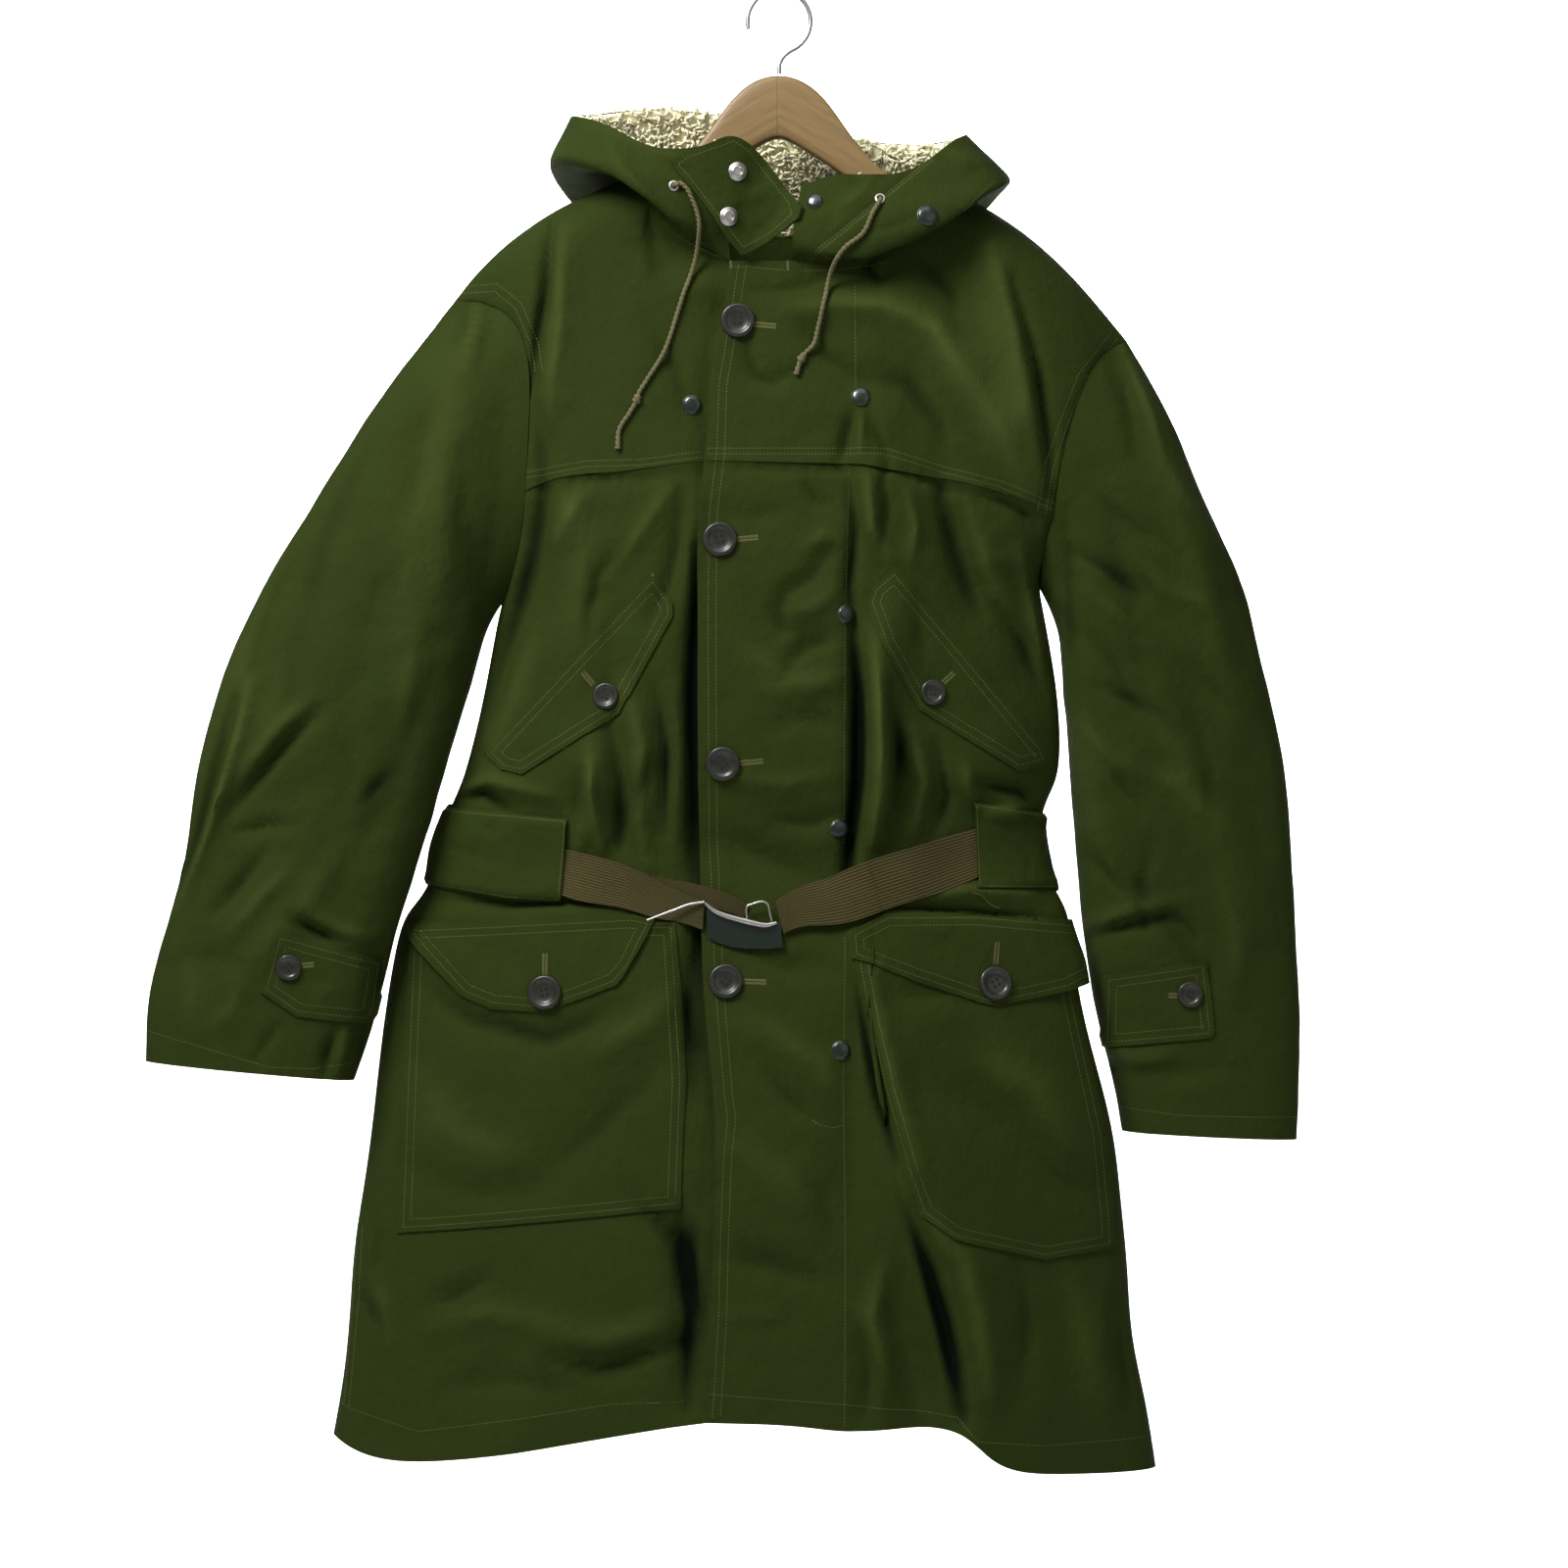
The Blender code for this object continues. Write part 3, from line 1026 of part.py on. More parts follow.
def drawcord(name, line, knot):
    """A cord end that comes out through its eyelet and hangs down over the cloth."""
    line = np.array(line, float)
    us = np.linspace(0, 1, 2 * len(line) - 1)
    steps = np.linalg.norm(np.diff(line, axis=0), axis=1)
    knot_at = steps[:knot].sum() / steps.sum()
    flat = smooth_line(line, us)
    nearest = int(np.argmin(np.abs(us - knot_at)))
    radii = np.full(len(us), CORD)
    radii[nearest] = KNOT
    radii[nearest - 1:nearest + 2:2] = KNOT * 0.8
    depth = []
    for (x, drop), radius in zip(flat, radii):
        reach = radius + 1.5
        around = [(dx, dd) for dx in (-reach, 0, reach) for dd in (-reach, 0, reach)]
        hits = [front_hit(cord_trees, x + dx, drop + dd) for dx, dd in around]
        depth.append(min(hit[0][1] for hit in hits if hit is not None) - 0.5 - radius)
    depth = np.array(depth)
    bottom = np.minimum(np.minimum(np.roll(depth, 1), np.roll(depth, -1)), depth)
    bottom[0], bottom[-1] = depth[0], depth[-1]
    settled = bottom.copy()
    for _ in range(2):
        settled[1:-1] = np.minimum(depth[1:-1], (settled[:-2] + 2 * settled[1:-1] + settled[2:]) / 4)
    path = [(x, y, -drop) for (x, drop), y in zip(flat, settled)]
    eye = front_hit([hood.tree], *line[0])
    path[0] = tuple(eye[0] + eye[1] * 0.4)
    path[1] = tuple(eye[0] + eye[1] * 3.4)
    strand(name, path, radii)


def strand(name, path, radii):
    """A round cord along a path, thicker where its knot is."""
    curve = bpy.data.curves.new(name, "CURVE")
    curve.dimensions = "3D"
    curve.bevel_depth = CORD * MM
    curve.bevel_resolution = 2
    curve.use_fill_caps = True
    spline = curve.splines.new("POLY")
    spline.points.add(len(path) - 1)
    for point, place, radius in zip(spline.points, path, radii):
        point.co = (*(c * MM for c in place), 1.0)
        point.radius = radius / CORD
    add_object(name, curve, TWINE)


drawcord("drawcord_right", CORD_RIGHT, KNOT_RIGHT)
drawcord("drawcord_left", CORD_LEFT, KNOT_LEFT)

# Hanger and hook

HangerCut = namedtuple("HangerCut", "x top bottom half")
HANGER = [
    HangerCut(0, 68, 118, 10), HangerCut(16, 71, 127, 10), HangerCut(32, 81, 137, 10),
    HangerCut(46, 98, 146, 10), HangerCut(57, 115, 155, 10), HangerCut(74, 136, 167, 10),
    HangerCut(88, 150, 175, 10), HangerCut(120, 164, 189, 9), HangerCut(160, 182, 206, 8),
    HangerCut(180, 193, 215, 7), HangerCut(187, 199, 214, 5),
]
LEAN = 3.0 / 190  # the wearer's left end hangs lower by this slope
CHAMFER = 2.5


def hanger():
    cuts = [HangerCut(-c.x, *c[1:]) for c in HANGER[:0:-1]] + HANGER
    rings = []
    for cut in cuts:
        top, bottom = -cut.top - LEAN * cut.x, -cut.bottom - LEAN * cut.x
        h, c = cut.half, CHAMFER
        rings += [
            (cut.x, -h + c, top), (cut.x, h - c, top), (cut.x, h, top - c), (cut.x, h, bottom + c),
            (cut.x, h - c, bottom), (cut.x, -h + c, bottom), (cut.x, -h, bottom + c), (cut.x, -h, top - c),
        ]
    faces = [list(range(8)), [len(rings) - 8 + i for i in range(8)][::-1]]
    for r in range(len(cuts) - 1):
        for i in range(8):
            a, b = r * 8 + i, r * 8 + (i + 1) % 8
            faces.append([a, a + 8, b + 8, b])
    mesh = bpy.data.meshes.new("hanger")
    mesh.from_pydata((np.array(rings) * MM).tolist(), [], faces)
    body = bmesh.new()
    body.from_mesh(mesh)
    bmesh.ops.recalc_face_normals(body, faces=body.faces)
    body.to_mesh(mesh)
    body.free()
    add_object("hanger", mesh, WOOD)


hanger()
WIRE = 2.0
BEND = 26.0
HOOK_CENTRE = -24.0
hook_line = [
    (BEND * math.cos(math.radians(a)), 0.0, HOOK_CENTRE + BEND * math.sin(math.radians(a)))
    for a in range(195, -61, -15)
]
hook_line += [(5.0, 0.0, -50.0), (1.2, 0.0, -55.0), (0.0, 0.0, -60.0), (0.0, 0.0, -67.6)]
tube("hook", hook_line, WIRE, 8, STEEL)
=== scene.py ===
"""Looks of the field parka on its hanger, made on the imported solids.

Sizes are in millimetres unless a name ends in _m, and a drop is a distance below the origin, where
the hanger's hook bears. The front faces -Y, so the wearer's right is at -X.
"""
import math
from collections import namedtuple

import bmesh
import bpy
import numpy as np
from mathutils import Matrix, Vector, noise
from mathutils.bvhtree import BVHTree
from mathutils.kdtree import KDTree


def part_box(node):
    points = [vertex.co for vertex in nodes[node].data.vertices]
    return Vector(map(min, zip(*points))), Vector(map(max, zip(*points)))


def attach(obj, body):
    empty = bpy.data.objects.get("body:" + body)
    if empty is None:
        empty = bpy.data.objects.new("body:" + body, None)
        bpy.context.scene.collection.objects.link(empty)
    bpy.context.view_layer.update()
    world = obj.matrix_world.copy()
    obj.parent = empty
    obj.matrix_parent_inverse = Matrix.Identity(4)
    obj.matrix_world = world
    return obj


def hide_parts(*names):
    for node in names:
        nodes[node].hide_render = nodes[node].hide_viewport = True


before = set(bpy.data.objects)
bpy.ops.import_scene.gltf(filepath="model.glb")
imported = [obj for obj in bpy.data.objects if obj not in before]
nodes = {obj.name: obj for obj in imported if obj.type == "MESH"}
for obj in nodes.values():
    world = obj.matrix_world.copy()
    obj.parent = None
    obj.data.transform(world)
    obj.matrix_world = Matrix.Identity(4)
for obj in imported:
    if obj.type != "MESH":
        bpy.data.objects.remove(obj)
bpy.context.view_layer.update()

MM = 0.001
FRONT, BACK = -1.0, 1.0  # the way a side of the coat faces along Y
scene = bpy.context.scene

# Camera, light and backdrop
# The coat is seen straight on, well in front of a white wall, in soft light from above and in front.
VIEW_WIDTH_M, VIEW_DISTANCE_M, VIEW_DROP_M, VIEW_SIDE_M = 1.28, 3.5, 0.6536, 0.004
CLOTH_FRONT_M, SENSOR = 0.04, 36.0
WALL_M, FLOOR_M, CORNER_M, STAGE_HALF_M, STAGE_FRONT_M = 4.6, -2.6, 0.5, 4.0, 5.0
CORNER_STEPS, WALL_ROUGHNESS, WORLD_LIGHT = 8, 0.9, 0.24
WHITE, WALL_WHITE = (1.0, 1.0, 1.0, 1.0), (0.93, 0.93, 0.93, 1.0)

camera_data = bpy.data.cameras.new("camera")
camera_data.sensor_width = SENSOR
camera_data.lens = SENSOR * VIEW_DISTANCE_M / VIEW_WIDTH_M
camera = bpy.data.objects.new("camera", camera_data)
camera.location = (VIEW_SIDE_M, -VIEW_DISTANCE_M - CLOTH_FRONT_M, -VIEW_DROP_M)
camera.rotation_euler = (math.pi / 2, 0.0, 0.0)
scene.collection.objects.link(camera)
scene.camera = camera

Lamp = namedtuple("Lamp", "name place aim size watts deep", defaults=(None,))
LAMPS = [
    Lamp("key_light", (-1.15, -1.4, 1.05), (0.0, 0.0, -0.4), 0.9, 70),
    Lamp("fill_light", (1.9, -2.6, 0.2), (0.0, 0.0, -0.7), 2.2, 7),
    Lamp("top_light", (0.0, -1.6, 2.4), (0.0, 0.0, -0.5), 2.5, 30),
    Lamp("wall_light", (0.0, 3.0, 1.0), (0.0, 4.6, -0.9), 3.4, 330, 0.8),
]
for lamp in LAMPS:
    light = bpy.data.lights.new(lamp.name, "AREA")
    light.size, light.energy = lamp.size, lamp.watts
    if lamp.deep:
        light.shape, light.size_y = "RECTANGLE", lamp.deep
    holder = bpy.data.objects.new(lamp.name, light)
    holder.location = lamp.place
    holder.rotation_euler = (Vector(lamp.aim) - Vector(lamp.place)).to_track_quat("-Z", "Y").to_euler()
    scene.collection.objects.link(holder)
world = bpy.data.worlds.new("studio")
world.use_nodes = True
world.node_tree.nodes["Background"].inputs["Color"].default_value = WHITE
world.node_tree.nodes["Background"].inputs["Strength"].default_value = WORLD_LIGHT
scene.world = world
scene.view_settings.view_transform = "Standard"


def backdrop():
    """One sweep from the floor in front up the wall behind."""
    line = [(-STAGE_FRONT_M, FLOOR_M), (WALL_M - CORNER_M, FLOOR_M)]
    for step in range(1, CORNER_STEPS + 1):
        turn = step * math.pi / (2 * CORNER_STEPS)
        line.append((WALL_M - CORNER_M * (1 - math.sin(turn)), FLOOR_M + CORNER_M * (1 - math.cos(turn))))
    line.append((WALL_M, 2 * STAGE_HALF_M))
    points = [(x, y, z) for x in (-STAGE_HALF_M, STAGE_HALF_M) for y, z in line]
    count = len(line)
    faces = [(i, i + 1, i + 1 + count, i + count) for i in range(count - 1)]
    mesh = bpy.data.meshes.new("backdrop")
    mesh.from_pydata(points, [], faces)
    mesh.shade_smooth()
    material = bpy.data.materials.new("backdrop_white")
    material.use_nodes = True
    shader = material.node_tree.nodes["Principled BSDF"]
    shader.inputs["Base Color"].default_value = WALL_WHITE
    shader.inputs["Roughness"].default_value = WALL_ROUGHNESS
    mesh.materials.append(material)
    sweep = bpy.data.objects.new("backdrop", mesh)
    scene.collection.objects.link(sweep)


backdrop()

# Body, yokes, back and sleeves
# Green cotton sateen, washed and pressed flat by its own hanging, with soft creases where it is
# gathered by the belt, pulled by the fly's fastenings and bent at the elbows.
SHELL = 1.8
SAME_POINT_M, RIM_SPARE, ANY_ANGLE = 0.00002, 0.05, 3.1
OUTER_SHARE = 0.1  # what tells the two sides of a wall apart where they are equally large
FIT_ROUNDS, FIT_SHARE = 3, 0.8
TILT_FROM, TILT_OVER = 0.1, 0.35  # from what tilt towards a side its creases show, and over what range
WAVE_M, WAVELET_M, WAVELET_SHARE, WAVE_SHIFT = 0.055, 0.021, 0.4, 2.3
RELIEF, WAVE_IN_RELIEF, EDGE_HELD_M = 9, 0.6, 0.02
CLOTH_SHARP, SOLID_SHARP, TUBE_SHARP = math.radians(55), math.radians(50), math.radians(60)
BEVELLED = 0.6  # the angle in radians from which an edge is softened
SHARE, FIRST, SECOND, MIXED = 0, 6, 7, 2  # where a mix of colours has its share, its colours and its outcome


class Socket:
    """A shader value that takes part in sums with numbers and other values."""

    def __init__(self, tree, socket):
        self.tree, self.socket = tree, socket

    def math(self, operation, first, second, clamp=False):
        node = self.tree.nodes.new("ShaderNodeMath")
        node.operation, node.use_clamp = operation, clamp
        for slot, value in zip(node.inputs, (first, second)):
            feed(self.tree, slot, value)
        return Socket(self.tree, node.outputs[0])

    def __add__(self, other):
        return self.math("ADD", self, other)

    def __sub__(self, other):
        return self.math("SUBTRACT", self, other)

    def __rsub__(self, other):
        return self.math("SUBTRACT", other, self)

    def __mul__(self, other):
        return self.math("MULTIPLY", self, other)

    def clamped(self):
        return self.math("ADD", self, 0.0, True)

    def sine(self):
        return self.math("SINE", self, 0.0)


def feed(tree, slot, value):
    """Sets a node's input, or joins another node's output to it."""
    if isinstance(value, Socket):
        tree.links.new(value.socket, slot)
    else:
        slot.default_value = value


class Finish:
    """A Principled material under construction."""

    def __init__(self, name, roughness, metallic=0.0):
        self.material = bpy.data.materials.new(name)
        self.material.use_nodes = True
        self.tree = self.material.node_tree
        self.shader = self.tree.nodes["Principled BSDF"]
        self.set("Roughness", roughness)
        self.set("Metallic", metallic)

    def set(self, slot, value):
        feed(self.tree, self.shader.inputs[slot], value)

    def node(self, kind, output=0, options=(), **inputs):
        node = self.tree.nodes.new(kind)
        for option, value in dict(options).items():
            setattr(node, option, value)
        for slot, value in inputs.items():
            feed(self.tree, node.inputs[slot.replace("_", " ")], value)
        return Socket(self.tree, node.outputs[output])

    def place(self):
        return self.node("ShaderNodeTexCoord", "Object")

    def axes(self):
        """The three coordinates of a place, in metres."""
        split = self.tree.nodes.new("ShaderNodeSeparateXYZ")
        feed(self.tree, split.inputs[0], self.place())
        return [Socket(self.tree, output) for output in split.outputs]

    def noise(self, scale, detail=2.0, vector=None):
        vector = vector or self.place()
        return self.node("ShaderNodeTexNoise", "Fac", Vector=vector, Scale=scale, Detail=detail)

    def attribute(self, name):
        return self.node("ShaderNodeAttribute", "Fac", {"attribute_name": name})

    def blend(self, share, first, second):
        node = self.tree.nodes.new("ShaderNodeMix")
        node.data_type = "RGBA"
        for slot, value in ((SHARE, share), (FIRST, first), (SECOND, second)):
            feed(self.tree, node.inputs[slot], value)
        return Socket(self.tree, node.outputs[MIXED])

    def bump(self, height, distance_m, strength=1.0):
        bump = self.node("ShaderNodeBump", "Normal", Height=height, Distance=distance_m, Strength=strength)
        self.set("Normal", bump)


def speckled(name, roughness, noise_of, colours, bump=(), **slots):
    """A material of two colours mixed by a fine noise, which can also raise its surface."""
    finish = Finish(name, roughness)
    specks = finish.noise(*noise_of)
    finish.set("Base Color", finish.blend(specks, *colours))
    for slot, value in slots.items():
        finish.set(slot.replace("_", " "), value)
    if bump:
        finish.bump(specks, *bump)
    return finish.material


# The first pair here are painted colours: near-black shade for the cloth's hollows and a pale highlight for
# its ridges.
OLIVE_HOLLOW_SHADE, OLIVE_RIDGE_HIGHLIGHT = (0.0014, 0.0032, 0.0004, 1), (0.050, 0.066, 0.013, 1)
OLIVE, OLIVE_PATCHY = (0.022, 0.034, 0.0045, 1), (0.029, 0.041, 0.007, 1)
BLOTCHES, MOTTLES, CRUMPLES, WRINKLES = (9.0, 4.0), (120.0, 3.0), (34.0, 6.0), (150.0, 4.0)
# How strongly, and from what crease height, the ridges are painted in highlight and the hollows in shade.
HIGHLIGHT_GAIN, HIGHLIGHT_FROM, SHADE_GAIN, SHADE_FROM = 0.85, 0.05, -1.15, 0.38
THREADS, WEAVE_HEIGHT = 5200.0, 0.04  # a thread's wave is in radians to a metre
COTTON_BUMP_M, COTTON_BUMP = 0.0034, 0.7


def cotton():
    """Sateen with painted highlight along its ridges and painted shade in its hollows, by crease height, with
    a faint weave.
    """
    finish = Finish("green_cotton", 0.8)
    patchy = finish.noise(*BLOTCHES)
    mottled = finish.noise(*MOTTLES)
    ridge = finish.attribute("relief")
    tone = finish.blend((patchy * 0.6 + mottled * 0.4).clamped(), OLIVE, OLIVE_PATCHY)
    # Painted highlight on ridges, then painted shade in hollows, both read from the relief attribute.
    tone = finish.blend((ridge * HIGHLIGHT_GAIN - HIGHLIGHT_FROM).clamped(), tone, OLIVE_RIDGE_HIGHLIGHT)
    tone = finish.blend((ridge * SHADE_GAIN - SHADE_FROM).clamped(), tone, OLIVE_HOLLOW_SHADE)
    finish.set("Base Color", tone)
    finish.set("Specular IOR Level", 0.07)
    across, out, up = finish.axes()
    weave = ((across * THREADS).sine() + (up * THREADS + across * (THREADS / 2)).sine()) * WEAVE_HEIGHT
    crumple = finish.noise(*CRUMPLES) * 1.5 + finish.noise(*WRINKLES) * 0.35
    finish.bump(crumple + weave, COTTON_BUMP_M, COTTON_BUMP)
    return finish.material


GREEN_COTTON = cotton()

Crease = namedtuple("Crease", "line width height")


def creased(rows):
    """Creases from rows of width, height and points as (x, drop). A hollow's height is below 0."""
    return [Crease(line, width, height) for width, height, *line in rows]


FRONT_CREASES = creased([
    (11.05, -8.3, (-66, 462), (-68, 526), (-74, 622), (-78, 694), (-72, 738)),
    (7.65, -6.9, (62, 526), (63, 622), (58, 726)),
    (10.2, -6, (88, 602), (110, 654), (104, 694)),
    (9.35, 6, (78, 550), (84, 622), (78, 694)),
    (8.5, -6.4, (-102, 638), (-124, 678), (-134, 718)),
    (9.35, 5.5, (-146, 626), (-161, 678), (-164, 710)),
    (10.2, -8.3, (-66, 758), (-73, 814), (-71, 862)),
    (17, 5.1, (-188, 398), (-156, 462), (-164, 542)),
    (18.7, 6, (164, 254), (188, 318), (196, 382)),
    (13.6, 5.5, (-200, 526), (-220, 590), (-236, 638)),
    (11.9, -4.1, (-28, 494), (4, 526), (36, 534)),
    (11.9, 4.1, (-32, 542), (4, 566), (44, 574)),
    (13.6, -4.6, (-44, 702), (4, 718), (44, 734)),
    (5, -12, (-188, 186), (-191, 254), (-197, 286), (-203, 334)),
    (11.05, 9.2, (-176, 206), (-178, 278), (-188, 358)),
    (10.2, -10, (-198, 350), (-191, 414), (-200, 462), (-220, 526), (-236, 590)),
    (6.8, 6, (-84, 407), (-105, 438), (-124, 466), (-150, 494)),
    (5.95, -6.9, (-76, 414), (-84, 462), (-92, 494), (-108, 526)),
    (5.1, 6.9, (-66, 414), (-73, 462), (-78, 526)),
    (7.65, -6.9, (-124, 462), (-146, 486), (-156, 526)),
    (10.2, 5.8, (-156, 414), (-188, 462)),
    (8.5, -5.8, (-108, 278), (-84, 318), (-76, 358)),
    (6.8, 7.8, (-124, 574), (-112, 622), (-116, 678), (-108, 718)),
    (5.95, -8.3, (-138, 606), (-129, 654), (-132, 702)),
    (5.95, -10, (-102, 574), (-92, 630), (-95, 694)),
    (5.1, 8.7, (-84, 574), (-82, 638), (-84, 718)),
    (5.95, 6.9, (-156, 622), (-151, 678), (-144, 708)),
    (5.1, -6, (-164, 646), (-162, 686)),
    (5, -4.6, (-67, 462), (-70, 558), (-70, 638), (-69, 726)),
    (5.1, -9.2, (-260, 666), (-242, 662), (-220, 677)),
    (6.8, 6.9, (-268, 658), (-236, 651), (-188, 663)),
    (5.1, -7.4, (-284, 746), (-220, 753), (-124, 746)),
    (11.05, -7.8, (-292, 816), (-252, 844), (-188, 860), (-124, 838)),
    (15.3, -5.1, (-80, 866), (-124, 910), (-164, 946), (-204, 982)),
    (11.9, 6, (-84, 822), (-108, 846), (-156, 874)),
    (20.4, 5.1, (-300, 894), (-260, 942), (-212, 958)),
    (11.9, -4.1, (-304, 966), (-260, 986), (-188, 986)),
    (7.65, -5.5, (-292, 1082), (-260, 1068), (-232, 1052)),
    (8.5, 5.1, (-284, 1095), (-236, 1082), (-188, 1089)),
    (8.5, -7.8, (-188, 1118), (-140, 1127), (-102, 1114), (-76, 1103)),
    (10.2, 6, (-188, 1094), (-140, 1103), (-84, 1086)),
    (5.1, -6.4, (-346, 1074), (-335, 1086), (-327, 1103)),
    (6.8, 5.1, (-338, 1054), (-324, 1078), (-319, 1110)),
    (5.95, -4.6, (-338, 1002), (-329, 1030), (-335, 1070)),
    (11.9, -4.6, (-276, 1150), (-220, 1134), (-156, 1143)),
    (10.2, -8.3, (-120, 986), (-84, 1022), (-71, 1078)),
    (7.65, -14, (-76, 998), (-71, 1078), (-76, 1158)),
    (5.1, -9.2, (-76, 822), (-70, 862), (-66, 918)),
    (5.95, 6.9, (-84, 750), (-76, 798)),
    (11.05, 9.7, (14, 268), (44, 263), (88, 266), (128, 286), (152, 330)),
    (9.35, -5.5, (18, 278), (40, 306), (68, 324)),
    (11.05, -6.9, (68, 324), (104, 327), (128, 358), (138, 390)),
    (11.9, 8.3, (128, 278), (152, 318), (180, 366), (204, 414)),
    (9.35, 9.2, (172, 214), (192, 278), (206, 350), (217, 406)),
    (5.95, -13, (191, 242), (210, 318), (217, 366), (223, 418)),
    (10.2, -6.9, (108, 220), (140, 254), (152, 286)),
    (4, -6.9, (78, 223), (71, 234), (81, 243), (89, 237)),
    (6.8, -5.5, (-28, 286), (-20, 322), (-4, 327), (16, 318)),
    (8.5, -4.6, (-24, 254), (20, 250), (68, 230)),
    (5.1, -8.3, (62, 350), (55, 370), (50, 394)),
    (5.95, -6, (71, 351), (81, 374), (90, 394)),
    (5, 5.5, (66, 348), (66, 390)),
    (5.1, -5.5, (22, 407), (30, 423), (44, 430)),
    (5.1, -10, (57, 407), (62, 446), (57, 494), (62, 526)),
    (6.8, 8.3, (71, 402), (76, 446), (92, 471)),
    (5.1, -5.5, (84, 402), (88, 430), (84, 462)),
    (6.8, -6, (44, 462), (26, 486), (4, 498), (1, 526)),
    (5.95, 4.6, (49, 494), (28, 511), (4, 516)),
    (6.8, -5.5, (44, 535), (20, 542), (4, 566)),
    (7.65, 4.1, (54, 566), (28, 574), (-12, 578)),
    (5.95, 5.1, (54, 462), (36, 452), (20, 462)),
    (8.5, -3.4, (4, 430), (-20, 438), (-44, 430)),
    (6.8, -4.1, (-4, 606), (28, 599), (50, 610)),
    (8.5, 3.4, (44, 646), (4, 654), (-44, 647)),
    (6.8, -4.1, (50, 678), (28, 687), (-4, 684)),
    (5.95, -13, (60, 534), (66, 582), (65, 646), (57, 710), (54, 750)),
    (7.65, 9.7, (75, 534), (82, 590), (86, 654), (76, 702)),
    (5.95, -8.3, (90, 574), (98, 622), (92, 686)),
    (6.8, 7.8, (108, 610), (118, 654), (108, 694)),
    (5.95, -7.4, (128, 622), (137, 662), (128, 694)),
    (6.8, 6.4, (152, 638), (158, 670)),
    (11.05, -10, (128, 406), (142, 462), (164, 518)),
    (11.05, 7.8, (152, 422), (172, 478), (196, 526)),
    (8.5, -9.2, (180, 510), (201, 542), (214, 574)),
    (6.8, 6.9, (196, 462), (209, 510), (217, 558)),
    (5.95, -5.5, (172, 418), (196, 430), (217, 450)),
    (5.95, 5.5, (104, 414), (112, 446), (108, 470)),
    (5.1, -8.3, (164, 654), (196, 660), (214, 678)),
    (5.95, -7.4, (204, 682), (220, 694), (222, 734)),
    (5.95, 6, (172, 678), (212, 671)),
    (5.1, -7.8, (84, 754), (132, 758), (212, 764)),
    (5.95, 6.4, (108, 746), (156, 740), (212, 745)),
    (6.8, -12, (62, 814), (71, 862), (82, 910), (96, 966)),
    (6.8, 8.3, (75, 806), (84, 854), (95, 902), (114, 966)),
    (8.5, -16, (104, 1002), (120, 1046), (134, 1094), (148, 1166)),
    (10.2, 9.2, (84, 1046), (76, 1086), (88, 1134)),
    (8.5, 8.3, (112, 998), (152, 1042), (164, 1086), (172, 1150)),
    (10.2, -4.6, (84, 826), (124, 823), (156, 831)),
    (17, -4.6, (132, 894), (172, 916), (206, 948)),
    (17, 6.4, (164, 878), (212, 902), (236, 950)),
    (13.6, -5.1, (204, 946), (228, 974), (268, 994)),
    (5.95, -5.5, (-8, 886), (9, 911), (31, 927)),
    (8.5, 4.6, (4, 862), (36, 878), (49, 910)),
    (13.6, -5.5, (-50, 1034), (-12, 1038), (44, 1057)),
    (2.6, 3.7, (-50, 1082), (-24, 1081), (4, 1083)),
    (15.3, 4.1, (-44, 942), (-4, 966), (44, 998)),
    (6.8, -5.1, (20, 974), (34, 986), (49, 1014)),
    (11.9, -5.5, (196, 1046), (201, 1094), (193, 1158)),
    (15.3, 5.1, (236, 1046), (252, 1102), (260, 1166)),
    (8.5, -5.5, (276, 1078), (282, 1134), (292, 1174)),
    (7.65, -6, (68, 1094), (72, 1134), (66, 1174)),
    (10.2, -4.6, (-40, 782), (4, 802), (44, 806)),
    (11.9, 3.7, (-44, 846), (-4, 854), (36, 894)),
])
